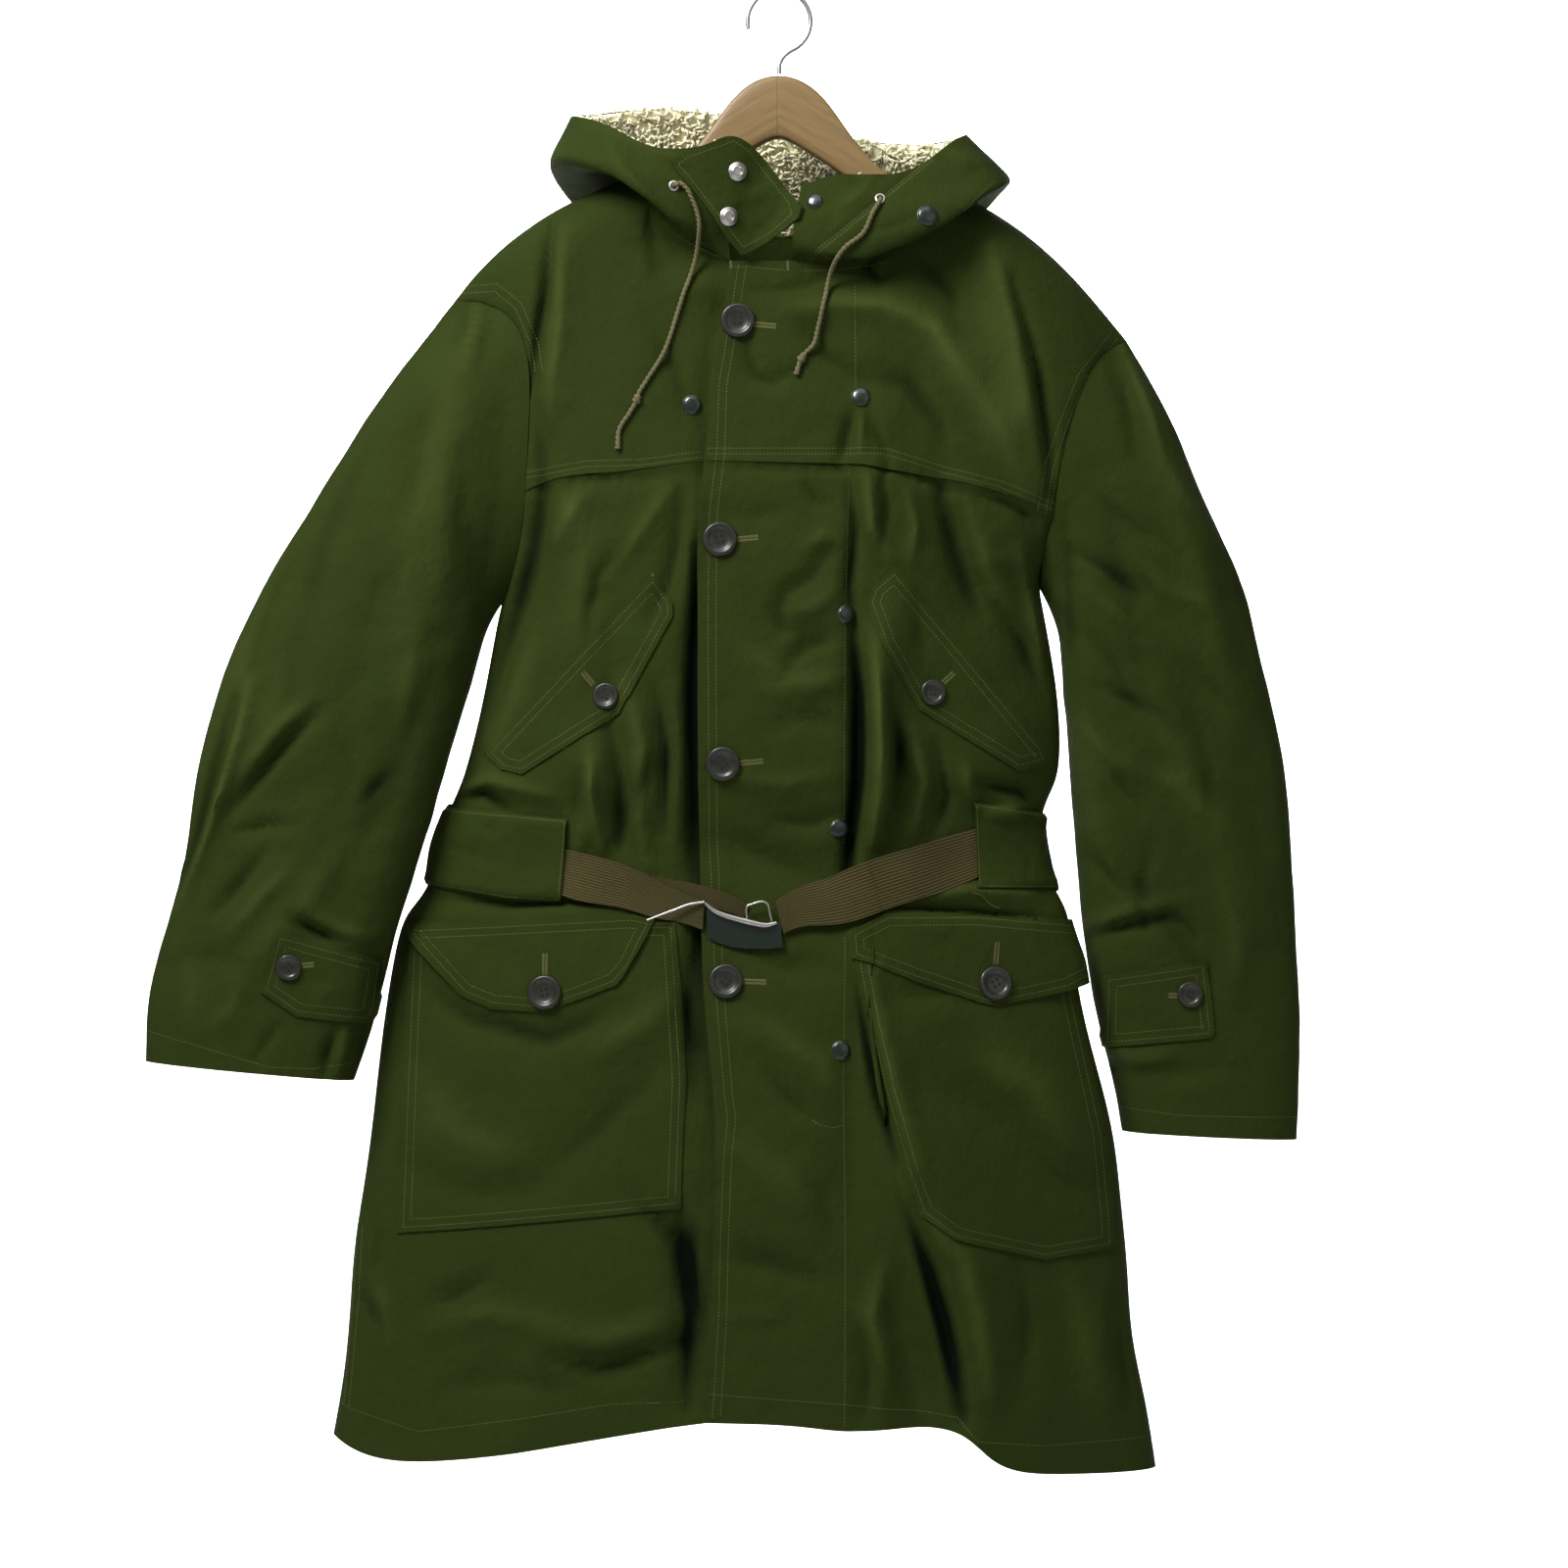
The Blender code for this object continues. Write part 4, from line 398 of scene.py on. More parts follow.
RIGHT_SLEEVE_CREASES = creased([
    (22.1, 5.1, (-260, 278), (-292, 430), (-316, 574)),
    (18.7, -5.1, (-324, 350), (-372, 462), (-396, 574)),
    (15.3, -4.1, (-220, 318), (-232, 430), (-260, 574)),
    (20.4, 4.1, (-396, 430), (-444, 574), (-476, 702)),
    (15.3, -5.1, (-284, 574), (-316, 654), (-356, 734)),
    (13.6, 4.6, (-348, 702), (-396, 766), (-444, 814)),
    (4, -4.6, (-258, 258), (-260, 278), (-266, 295)),
    (5, 5.5, (-249, 258), (-250, 282), (-257, 318)),
    (4, -5.1, (-238, 258), (-237, 278), (-241, 311)),
    (11.9, -4.1, (-279, 343), (-294, 374), (-300, 430)),
    (17, 4.6, (-260, 334), (-272, 414), (-276, 510)),
    (5.1, 12, (-430, 574), (-439, 614), (-449, 648), (-466, 698), (-482, 735), (-491, 756)),
    (6.8, -12, (-442, 586), (-455, 638), (-472, 694), (-492, 746)),
    (5.95, -8.3, (-372, 594), (-399, 622), (-426, 654), (-447, 680)),
    (5.95, 5.5, (-382, 586), (-409, 612), (-434, 646)),
    (4, -6, (-442, 693), (-416, 687), (-390, 688)),
    (5.95, -6.4, (-415, 709), (-436, 734), (-458, 760)),
    (6.8, 5.1, (-396, 722), (-420, 746), (-444, 774)),
    (5, -9.7, (-394, 762), (-376, 774), (-359, 780)),
    (5.1, 5.1, (-380, 758), (-356, 772), (-324, 780)),
    (5, -5.1, (-318, 646), (-329, 658), (-337, 670)),
    (15.3, -4.6, (-300, 462), (-332, 526), (-338, 590)),
    (11.9, 3.7, (-396, 526), (-404, 574), (-420, 622)),
    (13.6, -4.1, (-356, 574), (-348, 646), (-364, 702)),
    (5.95, -6.9, (-338, 846), (-342, 874), (-346, 890)),
    (5, -7.4, (-360, 854), (-368, 874), (-370, 894)),
    (5, 5.5, (-353, 854), (-356, 878), (-359, 894)),
    (5, -3.7, (-404, 849), (-415, 863), (-423, 878)),
    (10.2, 4.1, (-492, 782), (-476, 822), (-479, 854)),
    (8.5, -3.7, (-508, 806), (-476, 794), (-428, 802)),
    (7.65, 3.7, (-436, 814), (-444, 838), (-468, 854)),
    (6.8, -7.8, (-326, 786), (-327, 814), (-332, 838)),
    (10.2, 4.6, (-292, 526), (-300, 574), (-308, 622)),
    (11.9, -4.6, (-260, 390), (-252, 462), (-260, 526)),
    (8.5, -4.1, (-388, 462), (-412, 510), (-426, 558)),
])
LEFT_SLEEVE_CREASES = creased([
    (20.4, 5.1, (300, 358), (348, 478), (380, 622)),
    (17, -5.1, (260, 398), (292, 526), (308, 654)),
    (17, -4.6, (356, 462), (396, 574), (412, 702)),
    (18.7, 4.6, (268, 526), (324, 622), (380, 734)),
    (15.3, -4.6, (284, 718), (340, 798), (404, 862)),
    (13.6, 4.1, (244, 590), (260, 686), (284, 750)),
    (5, 7.8, (284, 290), (294, 322), (306, 354), (314, 383)),
    (6.8, -5.5, (276, 302), (284, 342), (297, 390)),
    (8.5, 4.6, (314, 383), (336, 422), (364, 462)),
    (5.1, -5.5, (242, 463), (268, 478), (297, 498)),
    (6.8, -4.1, (266, 423), (292, 442), (328, 466)),
    (7.65, 5.1, (252, 494), (284, 518), (308, 548)),
    (7.65, -5.1, (244, 526), (276, 558), (292, 598)),
    (6.8, 4.1, (284, 462), (316, 494), (356, 510)),
    (5.1, -4.6, (260, 574), (292, 586), (330, 612)),
    (6.8, -4.1, (316, 534), (348, 574), (374, 590)),
    (5.95, 4.6, (248, 606), (268, 630), (276, 654)),
    (5, -5.5, (266, 634), (281, 654), (303, 679)),
    (10.2, 4.1, (284, 638), (324, 654), (372, 694)),
    (5.1, -5.1, (247, 703), (260, 718), (281, 742)),
    (5.1, -4.1, (308, 702), (298, 734), (302, 774)),
    (5.1, -6.9, (249, 783), (284, 772), (324, 762)),
    (5.95, 5.5, (252, 770), (292, 758), (332, 751)),
    (5, -4.6, (324, 762), (338, 770), (346, 782)),
    (10.2, -3.7, (356, 654), (388, 678), (404, 718)),
    (11.9, 4.1, (364, 734), (380, 782), (374, 838)),
    (5, -6.9, (254, 874), (266, 886), (284, 892)),
    (5.95, 4.6, (268, 870), (292, 882), (324, 878)),
    (7.65, -3.7, (284, 892), (324, 894), (372, 887)),
    (5.1, -5.1, (252, 822), (260, 846), (268, 862)),
    (6.8, -5.5, (236, 430), (238, 494), (241, 574)),
    (10.2, -4.1, (348, 398), (372, 462), (388, 526)),
    (8.5, -4.1, (332, 574), (356, 638), (353, 686)),
    (10.2, 4.1, (388, 558), (404, 622), (412, 686)),
    (4, -3.7, (272, 922), (276, 934), (273, 942)),
])
BACK_CREASES = creased([
    (22, -3.2, (-120, 330), (-100, 450), (-90, 560)),
    (26, 2.6, (-60, 300), (-70, 420), (-50, 600)),
    (22, -3, (40, 320), (60, 460), (44, 640)),
    (24, 3, (110, 300), (130, 430), (120, 590)),
    (16, -3.4, (-190, 380), (-160, 470), (-170, 600)),
    (16, -3.4, (180, 380), (150, 480), (165, 610)),
    (6, -3.6, (-168, 600), (-163, 648), (-166, 690)),
    (7, 3.2, (-140, 620), (-142, 656), (-138, 692)),
    (6, -4, (-112, 590), (-108, 640), (-112, 690)),
    (7, 3, (-80, 628), (-78, 660), (-82, 694)),
    (6, -3.2, (-40, 606), (-44, 650), (-38, 692)),
    (7, 2.6, (-8, 634), (-6, 662), (-10, 694)),
    (6, -3.8, (28, 600), (24, 648), (30, 692)),
    (7, 3.4, (66, 622), (70, 656), (64, 694)),
    (6, -3.4, (100, 596), (96, 646), (102, 690)),
    (7, 3, (138, 614), (142, 652), (136, 690)),
    (22, -5.5, (-150, 800), (-180, 950), (-210, 1120)),
    (26, 4.4, (-60, 820), (-70, 980), (-90, 1140)),
    (22, -4.8, (30, 810), (50, 960), (60, 1140)),
    (24, 5, (130, 800), (170, 960), (200, 1120)),
    (9, -3.4, (-105, 790), (-112, 850), (-106, 920)),
    (9, -3.6, (90, 792), (100, 850), (96, 930)),
    (9, 3, (0, 796), (-6, 850), (4, 900)),
    (9, 3.2, (-200, 790), (-214, 860), (-230, 940)),
    (9, -3, (-230, 400), (-190, 430), (-140, 440)),
    (9, -3, (220, 410), (180, 440), (130, 446)),
])
TAB_CREASES = creased([
    (6, 1.6, (-48, 186), (-24, 178), (-4, 166)),
    (5, -1.6, (-76, 154), (-66, 174), (-52, 194)),
    (6, -1.4, (-20, 150), (-8, 170)),
    (5, -1.5, (4, 174), (-4, 194), (-24, 210)),
])
HOOD_CREASES = creased([
    (3.2, -2.2, (124, 142), (82, 181), (20, 230)),
    (9, -2.5, (-156, 134), (-159, 154), (-153, 178)),
    (7, 4.2, (-177, 126), (-185, 148), (-178, 167)),
    (7, 4.6, (-138, 134), (-124, 159), (-98, 183), (-76, 199)),
    (5, -3.2, (-124, 154), (-102, 174), (-84, 202)),
    (5, 3.4, (-164, 116), (-134, 124), (-102, 142), (-76, 148)),
    (9, -2.6, (168, 150), (148, 166), (108, 170)),
    (7, -2.2, (52, 150), (68, 166), (84, 162)),
    (6, 3, (88, 146), (68, 174), (44, 194)),
    (7, -2.4, (36, 166), (46, 190), (33, 214)),
    (6, -2.2, (60, 210), (92, 204), (124, 191)),
    (7, 3, (132, 134), (156, 146), (176, 148)),
])
THROAT_TAB = [
    (-86, 152), (-74, 144), (-51, 136), (-36, 130), (-22, 139), (10, 180), (14, 193), (-8, 210), (-30, 222),
    (-48, 199), (-74, 166),
]
END_SHARE, SWELL_SHARE, FALL = 0.12, 0.76, 1.5  # how a crease swells along its line and falls off beside it
LEAN_SPREAD, BEND_SPREAD = 0.7, 6
SMALL_LENGTHS, SMALL_WIDTHS, SMALL_HEIGHTS = (22, 80), (4, 10), (0.4, 1.3)


def crease_heights(x, drop, creases):
    """Sum of the creases at each point. A crease is highest at its middle and dies out at its ends."""
    total = np.zeros(len(x))
    for crease in creases:
        line = np.array(crease.line, float)
        steps = np.diff(line, axis=0)
        lengths = np.hypot(*steps.T)
        near = np.full(len(x), np.inf)
        along = np.zeros(len(x))
        start = 0.0
        for (x0, drop0), step, length in zip(line, steps, lengths):
            dx, dd = x - x0, drop - drop0
            share = np.clip((dx * step[0] + dd * step[1]) / length**2, 0, 1)
            gap = np.hypot(dx - share * step[0], dd - share * step[1])
            closer = gap < near
            near = np.where(closer, gap, near)
            along = np.where(closer, (start + share * length) / lengths.sum(), along)
            start += length
        swell = np.sin(np.pi * (END_SHARE + SWELL_SHARE * along))
        total += crease.height * swell * np.exp(-((near / crease.width) ** FALL))
    return total


def small_creases(seed, count, box, lean=0.5, deeper=1.0):
    """Slight creases of uneven length, depth and spacing inside a box (x0, drop0, x1, drop1)."""
    chance = np.random.default_rng(seed)
    found = []
    for _ in range(count):
        x, drop = chance.uniform(box[0], box[2]), chance.uniform(box[1], box[3])
        turn = chance.normal(lean, LEAN_SPREAD)
        length = chance.uniform(*SMALL_LENGTHS)
        bend = chance.normal(0, BEND_SPREAD)
        dx, dd = math.sin(turn) * length / 2, math.cos(turn) * length / 2
        middle = (x + dd / length * bend, drop - dx / length * bend)
        line = [(x - dx, drop - dd), middle, (x + dx, drop + dd)]
        height = chance.choice([-1, 1]) * chance.uniform(*SMALL_HEIGHTS) * deeper
        found.append(Crease(line, chance.uniform(*SMALL_WIDTHS), height))
    return found


def islands(body):
    """The separate sheets of a mesh, as lists of faces."""
    left, found = set(body.faces), []
    while left:
        sheet, waiting = [], [left.pop()]
        while waiting:
            face = waiting.pop()
            sheet.append(face)
            for edge in face.edges:
                for other in edge.link_faces:
                    if other in left:
                        left.remove(other)
                        waiting.append(other)
        found.append(sheet)
    return found


def in_quads(body):
    bmesh.ops.join_triangles(
        body, faces=body.faces, angle_face_threshold=ANY_ANGLE, angle_shape_threshold=ANY_ANGLE,
    )


def outer_side(node, thick, facing):
    """The outer side of a packed cloth wall, in quads. The wall's rims are as wide as it is thick."""
    body = bmesh.new()
    body.from_mesh(nodes[node].data)
    bmesh.ops.remove_doubles(body, verts=body.verts, dist=SAME_POINT_M)
    rims = [f for f in body.faces if any(e.calc_length() < (thick + RIM_SPARE) * MM for e in f.edges)]
    bmesh.ops.delete(body, geom=rims, context="FACES")

    def outwards(sheet):
        return sum(f.calc_area() * (1 + OUTER_SHARE * facing * f.normal.y) for f in sheet)

    sheets = sorted(islands(body), key=outwards)
    inner = [face for sheet in sheets[:-1] for face in sheet]
    bmesh.ops.delete(body, geom=inner, context="FACES")
    in_quads(body)
    return body


def mesh_of(name, points, faces):
    """A smooth mesh from points in millimetres."""
    mesh = bpy.data.meshes.new(name)
    mesh.from_pydata((np.array(points) * MM).tolist(), [], faces)
    mesh.shade_smooth()
    return mesh


def tree_of(mesh):
    return BVHTree.FromPolygons([v.co for v in mesh.vertices], [p.vertices for p in mesh.polygons])


def across_and_down(points):
    """The x and the drop of each point, in millimetres."""
    return points[:, 0] / MM, -points[:, 2] / MM


def ring_faces(rings, sides, start=0):
    """The faces between rings of points that follow each other."""
    faces = []
    for ring in range(rings - 1):
        for k in range(sides):
            a, b = start + ring * sides + k, start + ring * sides + (k + 1) % sides
            faces.append([a, b, b + sides, a + sides])
    return faces


def as_object(name, mesh, material):
    piece = bpy.data.objects.new(name, mesh)
    scene.collection.objects.link(piece)
    if material is not None:
        mesh.materials.clear()
        mesh.materials.append(material)
    return piece


def plain_mesh(holder):
    """What an object's modifiers make of it, as a mesh of its own; the object is then removed."""
    graph = bpy.context.evaluated_depsgraph_get()
    mesh = bpy.data.meshes.new_from_object(holder.evaluated_get(graph))
    bpy.data.objects.remove(holder)
    return mesh


def subdivided(mesh, levels):
    holder = as_object("subdividing", mesh, None)
    smooth = holder.modifiers.new("subdivision", "SUBSURF")
    smooth.levels = smooth.render_levels = levels
    smooth.boundary_smooth = "PRESERVE_CORNERS"
    return plain_mesh(holder)


def points_of(mesh):
    points = np.zeros(len(mesh.vertices) * 3)
    mesh.vertices.foreach_get("co", points)
    return points.reshape(-1, 3)


def normals_of(mesh):
    normals = np.zeros(len(mesh.vertices) * 3, np.float32)
    mesh.vertex_normals.foreach_get("vector", normals)
    return normals.reshape(-1, 3).astype(float)


def smooth_through(body, levels):
    """Subdivides a mesh so that it still passes through its own points."""
    mesh = bpy.data.meshes.new("cut")
    body.to_mesh(mesh)
    body.free()
    aim = points_of(mesh)
    held = aim.copy()
    for _ in range(FIT_ROUNDS):
        mesh.vertices.foreach_set("co", held.ravel())
        mesh.update()
        fine = subdivided(mesh.copy(), levels)
        held += FIT_SHARE * (aim - points_of(fine)[: len(aim)])
    return fine


def ripple(points, size, seed):
    """A gentle unevenness of the cloth, between -1 and 1."""
    shift = Vector((seed, WAVE_SHIFT * seed, 0.0))
    return np.array([noise.noise(Vector(p) / size + shift) for p in points.tolist()])


class Cloth:
    """A side of cloth with its creases in, for the wall made from it and for what is sewn on it."""

    def __init__(self, node, levels, creases, facing, uneven=0.9, thick=SHELL, other_side=()):
        self.name, self.thick = node, thick
        self.mesh = smooth_through(outer_side(node, thick, facing), levels)
        points, normals = points_of(self.mesh), normals_of(self.mesh)
        x, drop = across_and_down(points)
        tilt = normals[:, 1] * facing
        near = crease_heights(x, drop, creases) * np.clip((tilt - TILT_FROM) / TILT_OVER, 0, 1)
        far = crease_heights(x, drop, other_side) * np.clip((-tilt - TILT_FROM) / TILT_OVER, 0, 1)
        wave = ripple(points, WAVE_M, facing + len(node)) * uneven
        wave += ripple(points, WAVELET_M, facing + 3 * len(node)) * uneven * WAVELET_SHARE
        wave *= self.off_the_edges(points)
        points[:, 1] += facing * near * MM
        points[:, 1] -= facing * far * MM
        points += normals * wave[:, None] * MM
        self.mesh.vertices.foreach_set("co", points.ravel())
        self.mesh.update()
        # The crease heights, from which the cotton paints highlight on ridges and shade in hollows.
        relief = self.mesh.attributes.new("relief", "FLOAT", "POINT")
        relief.data.foreach_set("value", ((near + far + wave * WAVE_IN_RELIEF) / RELIEF).astype(np.float32))

    def off_the_edges(self, points):
        """0 at the cloth's cut edges, so that neighbours still meet there, and 1 well inside them."""
        body = bmesh.new()
        body.from_mesh(self.mesh)
        edge = np.array([v.is_boundary for v in body.verts])
        body.free()
        tree = KDTree(int(edge.sum()))
        for i in np.flatnonzero(edge):
            tree.insert(points[i], int(i))
        tree.balance()
        return np.array([min(1.0, tree.find(p)[2] / EDGE_HELD_M) for p in points])

    def tree(self):
        return tree_of(self.mesh)

    def wall(self, name, flat, area=None):
        """The closed cloth wall behind this side, put in place of the sheet that it was cut from."""
        declared(thickened(name, self.mesh.copy(), self.thick), self.name)


def thickened(name, mesh, thick, material=GREEN_COTTON):
    """A mesh made as thick as cloth, inwards, and smooth but for its rims."""
    holder = as_object("thickening", mesh, None)
    wall = holder.modifiers.new("wall", "SOLIDIFY")
    wall.thickness, wall.offset = thick * MM, -1.0
    mesh = plain_mesh(holder)
    mesh.shade_smooth()
    mesh.set_sharp_from_angle(angle=CLOTH_SHARP)
    return as_object(name, mesh, material)


def declared(piece, node):
    """Hides the part that a piece of cloth replaces and hangs the piece from the root."""
    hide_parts(node)
    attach(piece, "root")


YOKE_SEAM_RIGHT = [(-206, 411), (-156, 403), (-112, 402), (-62, 396)]
YOKE_SEAM_LEFT = [(-58, 394), (84, 394), (132, 408), (177, 419), (222, 437)]
LAP_STEP, LAP_ABOVE, LAP_BELOW, LAP_WIDTH, UNDER_WIDTH, UNDER_STEP = 1.1, 2.5, 3.5, 4, 3.2, -3
PUCKER_WIDTH, PUCKER_LEAN, PUCKER_START = 3.4, 0.25, 2
PUCKER_LENGTHS, PUCKER_HEIGHTS, PUCKER_STEPS = (0.5, 1.3), (0.4, 1.2), (0.55, 1.5)


def lapped(seam):
    """The turned edge of the yoke, and the dip of the cloth below its seam."""
    above = [(x, drop - LAP_ABOVE) for x, drop in seam]
    below = [(x, drop + LAP_BELOW) for x, drop in seam]
    return [Crease(above, LAP_WIDTH, LAP_STEP)], [Crease(below, UNDER_WIDTH, UNDER_STEP * LAP_STEP)]


def puckers(seed, seam, spacing, reach, height):
    """Short uneven gathers where the cloth below a seam was eased into it."""
    chance = np.random.default_rng(seed)
    found, x = [], seam[0][0] + spacing
    while x < seam[-1][0] - spacing:
        drop = float(np.interp(x, *zip(*seam)))
        length = reach * chance.uniform(*PUCKER_LENGTHS)
        lean = chance.uniform(-PUCKER_LEAN, PUCKER_LEAN) * length
        line = [(x, drop - PUCKER_START), (x + lean, drop + length)]
        found.append(Crease(line, PUCKER_WIDTH, height * chance.uniform(*PUCKER_HEIGHTS)))
        x += spacing * chance.uniform(*PUCKER_STEPS)
    return found


RIGHT_FRONT_BOX, LEFT_FRONT_BOX = (-340, 420, -60, 1180), (60, 420, 290, 1180)
BACK_BOX = (-300, 250, 270, 1150)
RIGHT_SLEEVE_BOX, RIGHT_HIDDEN_BOX = (-510, 330, -280, 860), (-510, 300, -250, 850)
LEFT_SLEEVE_BOX, LEFT_HIDDEN_BOX = (250, 330, 425, 900), (240, 300, 425, 900)
FLY_EDGE = [
    (-41, 229), (-49, 281), (-57, 328), (-58, 382), (-65, 435), (-66, 526), (-65, 702), (-62, 765),
    (-60, 814), (-56, 861), (-52, 906), (-50, 925), (-53, 956), (-55, 1017), (-57, 1086), (-62, 1164),
]
FLY_SIDE = -60  # hollows to the right of this are on the cloth under the fly's edge
UNDER_FLY = [
    # This hollow along the fly's edge is deep enough that the cotton paints it in shade through its relief.
    Crease([(x - 2, drop) for x, drop in FLY_EDGE], 5, -6.5),
    Crease([(-64, 318), (-67, 350), (-66, 392)], 8, -3),
]
edge_right, under_right = lapped(YOKE_SEAM_RIGHT)
edge_left, under_left = lapped(YOKE_SEAM_LEFT)
front_creases = list(FRONT_CREASES)
front_creases += puckers(21, YOKE_SEAM_RIGHT, 11, 16, -1.5) + puckers(22, YOKE_SEAM_LEFT, 12, 14, -1.2)
front_creases += small_creases(3, 26, RIGHT_FRONT_BOX) + small_creases(4, 24, LEFT_FRONT_BOX)
fly_creases = [c for c in front_creases if c.height > 0 or np.mean([x for x, drop in c.line]) > FLY_SIDE]
back_creases = BACK_CREASES + small_creases(7, 60, BACK_BOX, 0.2, 2.2)
right_hidden = small_creases(9, 30, RIGHT_HIDDEN_BOX, -0.5, 3.0)
left_hidden = small_creases(10, 30, LEFT_HIDDEN_BOX, 0.5, 3.0)
right_sleeve_creases = RIGHT_SLEEVE_CREASES + small_creases(5, 22, RIGHT_SLEEVE_BOX, -0.5)
left_sleeve_creases = LEFT_SLEEVE_CREASES + small_creases(6, 26, LEFT_SLEEVE_BOX, 0.6)
front_right = Cloth("front_right", 3, front_creases + UNDER_FLY + under_right + under_left, FRONT)
front_left = Cloth("front_left", 3, fly_creases + under_left, FRONT)
yoke_right = Cloth("yoke_right", 3, front_creases + UNDER_FLY + edge_right, FRONT)
yoke_left = Cloth("yoke_left", 3, fly_creases + edge_left, FRONT)
back = Cloth("back", 2, back_creases, BACK, 1.4)
sleeve_right = Cloth("sleeve_right", 3, right_sleeve_creases, FRONT, 1.0, SHELL, right_hidden)
sleeve_left = Cloth("sleeve_left", 3, left_sleeve_creases, FRONT, 1.0, SHELL, left_hidden)
hood = Cloth("hood", 3, HOOD_CREASES, FRONT, 1.0)
front_right.wall("right_front_cloth", (0.46, 0.84), 0.31)
front_left.wall("left_front_cloth", (0.40, 0.86), 0.28)
yoke_right.wall("right_yoke_cloth", (0.25, 0.28))
yoke_left.wall("left_yoke_cloth", (0.30, 0.28))
back.wall("back_cloth", (0.66, 1.10), 0.60)
sleeve_right.wall("right_sleeve_cloth", (0.46, 0.74), 0.27)
sleeve_left.wall("left_sleeve_cloth", (0.46, 0.72), 0.26)
hood.wall("hood_cloth", (0.85, 0.20), 0.14)

# Pockets, flaps, belt casing and cuff tabs
# Each is cut from the same cloth, turned in at its edges and stitched flat on its panel. The
# pocket flaps' ends curl up, and the belt runs in the tunnel behind its casing.
PATCH, GAP, CUT_EXACT_M = 1.5, 0.3, 1e-6
ON_POCKET = GAP + PATCH + GAP
TUNNEL, TUNNEL_RAMP = 3.6, 4.0
CURL_REACH, CURL_DROP, CURL_RAMP = 45, 768, 30


def flat_on(lift):
    """Lift that is the same all over a piece."""
    return lambda x, drop: np.full(len(x), lift)


def curled(lift, left_x, left_height, right_x, right_height):
    """Lift of a pocket flap whose two ends curl away from the pocket."""

    def at(x, drop):
        left = np.clip((left_x - x) / CURL_REACH, 0, 1) ** 2 * left_height
        right = np.clip((x - right_x) / CURL_REACH, 0, 1) ** 2 * right_height
        return lift + (left + right) * np.clip((drop - CURL_DROP) / CURL_RAMP, 0, 1)

    return at


def tunnel(lift, top, bottom):
    """Lift of the belt casing: down on the cloth at its stitched edges, off it between them."""

    def at(x, drop):
        high = np.interp(x, *zip(*top))
        low = np.interp(x, *zip(*bottom))
        inset = np.minimum(drop - high, low - drop) / TUNNEL_RAMP
        return lift + TUNNEL * np.clip(inset, 0, 1)

    return at


def cut_out(name, cloth, outline, lift, creases=(), material=GREEN_COTTON):
    """A wall cut from a panel to a convex outline and moved out from it; also its outer side."""
    body = bmesh.new()
    body.from_mesh(cloth.mesh)
    facing = BACK if cloth is back else FRONT
    hidden = [f for f in body.faces if f.normal.y * facing < 0]
    bmesh.ops.delete(body, geom=hidden, context="FACES")
    middle = np.mean(outline, axis=0)
    for (x0, drop0), (x1, drop1) in zip(outline, outline[1:] + outline[:1]):
        away = Vector((drop0 - drop1, 0.0, x0 - x1)).normalized()
        if (middle[0] - x0) * away.x - (middle[1] - drop0) * away.z > 0:
            away = -away
        bmesh.ops.bisect_plane(
            body, geom=body.verts[:] + body.edges[:] + body.faces[:], dist=CUT_EXACT_M,
            plane_co=Vector((x0, 0, -drop0)) * MM, plane_no=away, clear_outer=True,
        )
    mesh = bpy.data.meshes.new(name)
    body.to_mesh(mesh)
    body.free()
    points, normals = points_of(mesh), normals_of(mesh)
    x, drop = across_and_down(points)
    points += normals * (lift(x, drop) * MM)[:, None]
    points[:, 1] += facing * crease_heights(x, drop, creases) * MM
    mesh.vertices.foreach_set("co", points.ravel())
    mesh.update()
    outer = tree_of(mesh)
    return thickened(name, mesh, PATCH, material), outer


Patch = namedtuple("Patch", "name node cloth outline lift flat area creases")
CHEST_FLAP_RIGHT = [(-102, 482), (-86, 507), (-86, 517), (-130, 596), (-210, 646), (-227, 642), (-242, 628)]
CHEST_FLAP_LEFT = [
    (94, 478), (75, 494), (71, 507), (84, 542), (113, 593), (196, 643), (219, 637), (221, 632), (217, 623),
]
POCKET_RIGHT = [(-303, 766), (-84, 766), (-76, 894), (-80, 997), (-312, 1021)]
POCKET_LEFT = [
    (61, 775), (62, 802), (70, 846), (84, 906), (101, 965), (114, 1001), (142, 1022), (216, 1041),
    (276, 1034), (274, 1000), (268, 940), (232, 775),
]
POCKET_FLAP_RIGHT = [
    (-305, 770), (-120, 760), (-100, 764), (-108, 778), (-120, 803), (-132, 817), (-163, 829),
    (-193, 839), (-234, 836), (-259, 826), (-304, 778),
]
POCKET_FLAP_LEFT = [
    (57, 773), (88, 758), (160, 758), (262, 768), (262, 812), (238, 823), (178, 835), (166, 833),
    (109, 813), (59, 794),
]
CASING_RIGHT = [(-330, 668), (-172, 682), (-178, 751), (-224, 748), (-285, 738), (-330, 728)]
CASING_LEFT = [(159, 668), (210, 676), (300, 690), (300, 742), (162, 739)]
CASING_BACK = [(-330, 668), (0, 680), (300, 690), (300, 742), (0, 745), (-330, 728)]
CUFF_TAB_RIGHT = [(-406, 773), (-420, 822), (-391, 842), (-334, 849), (-328, 838), (-322, 797)]
CUFF_TAB_LEFT = [(268, 812), (353, 799), (359, 858), (356, 863), (268, 872)]
CHEST_CREASES_RIGHT = creased([
    (4, 1.2, (-136, 506), (-145, 526), (-148, 542)),
    (4, -1.2, (-124, 494), (-112, 514), (-102, 526)),
    (6, 1.2, (-160, 534), (-156, 558), (-164, 574)),
    (6, -1.3, (-188, 574), (-176, 598), (-174, 622)),
    (5, -1, (-220, 610), (-212, 630), (-200, 638)),
])
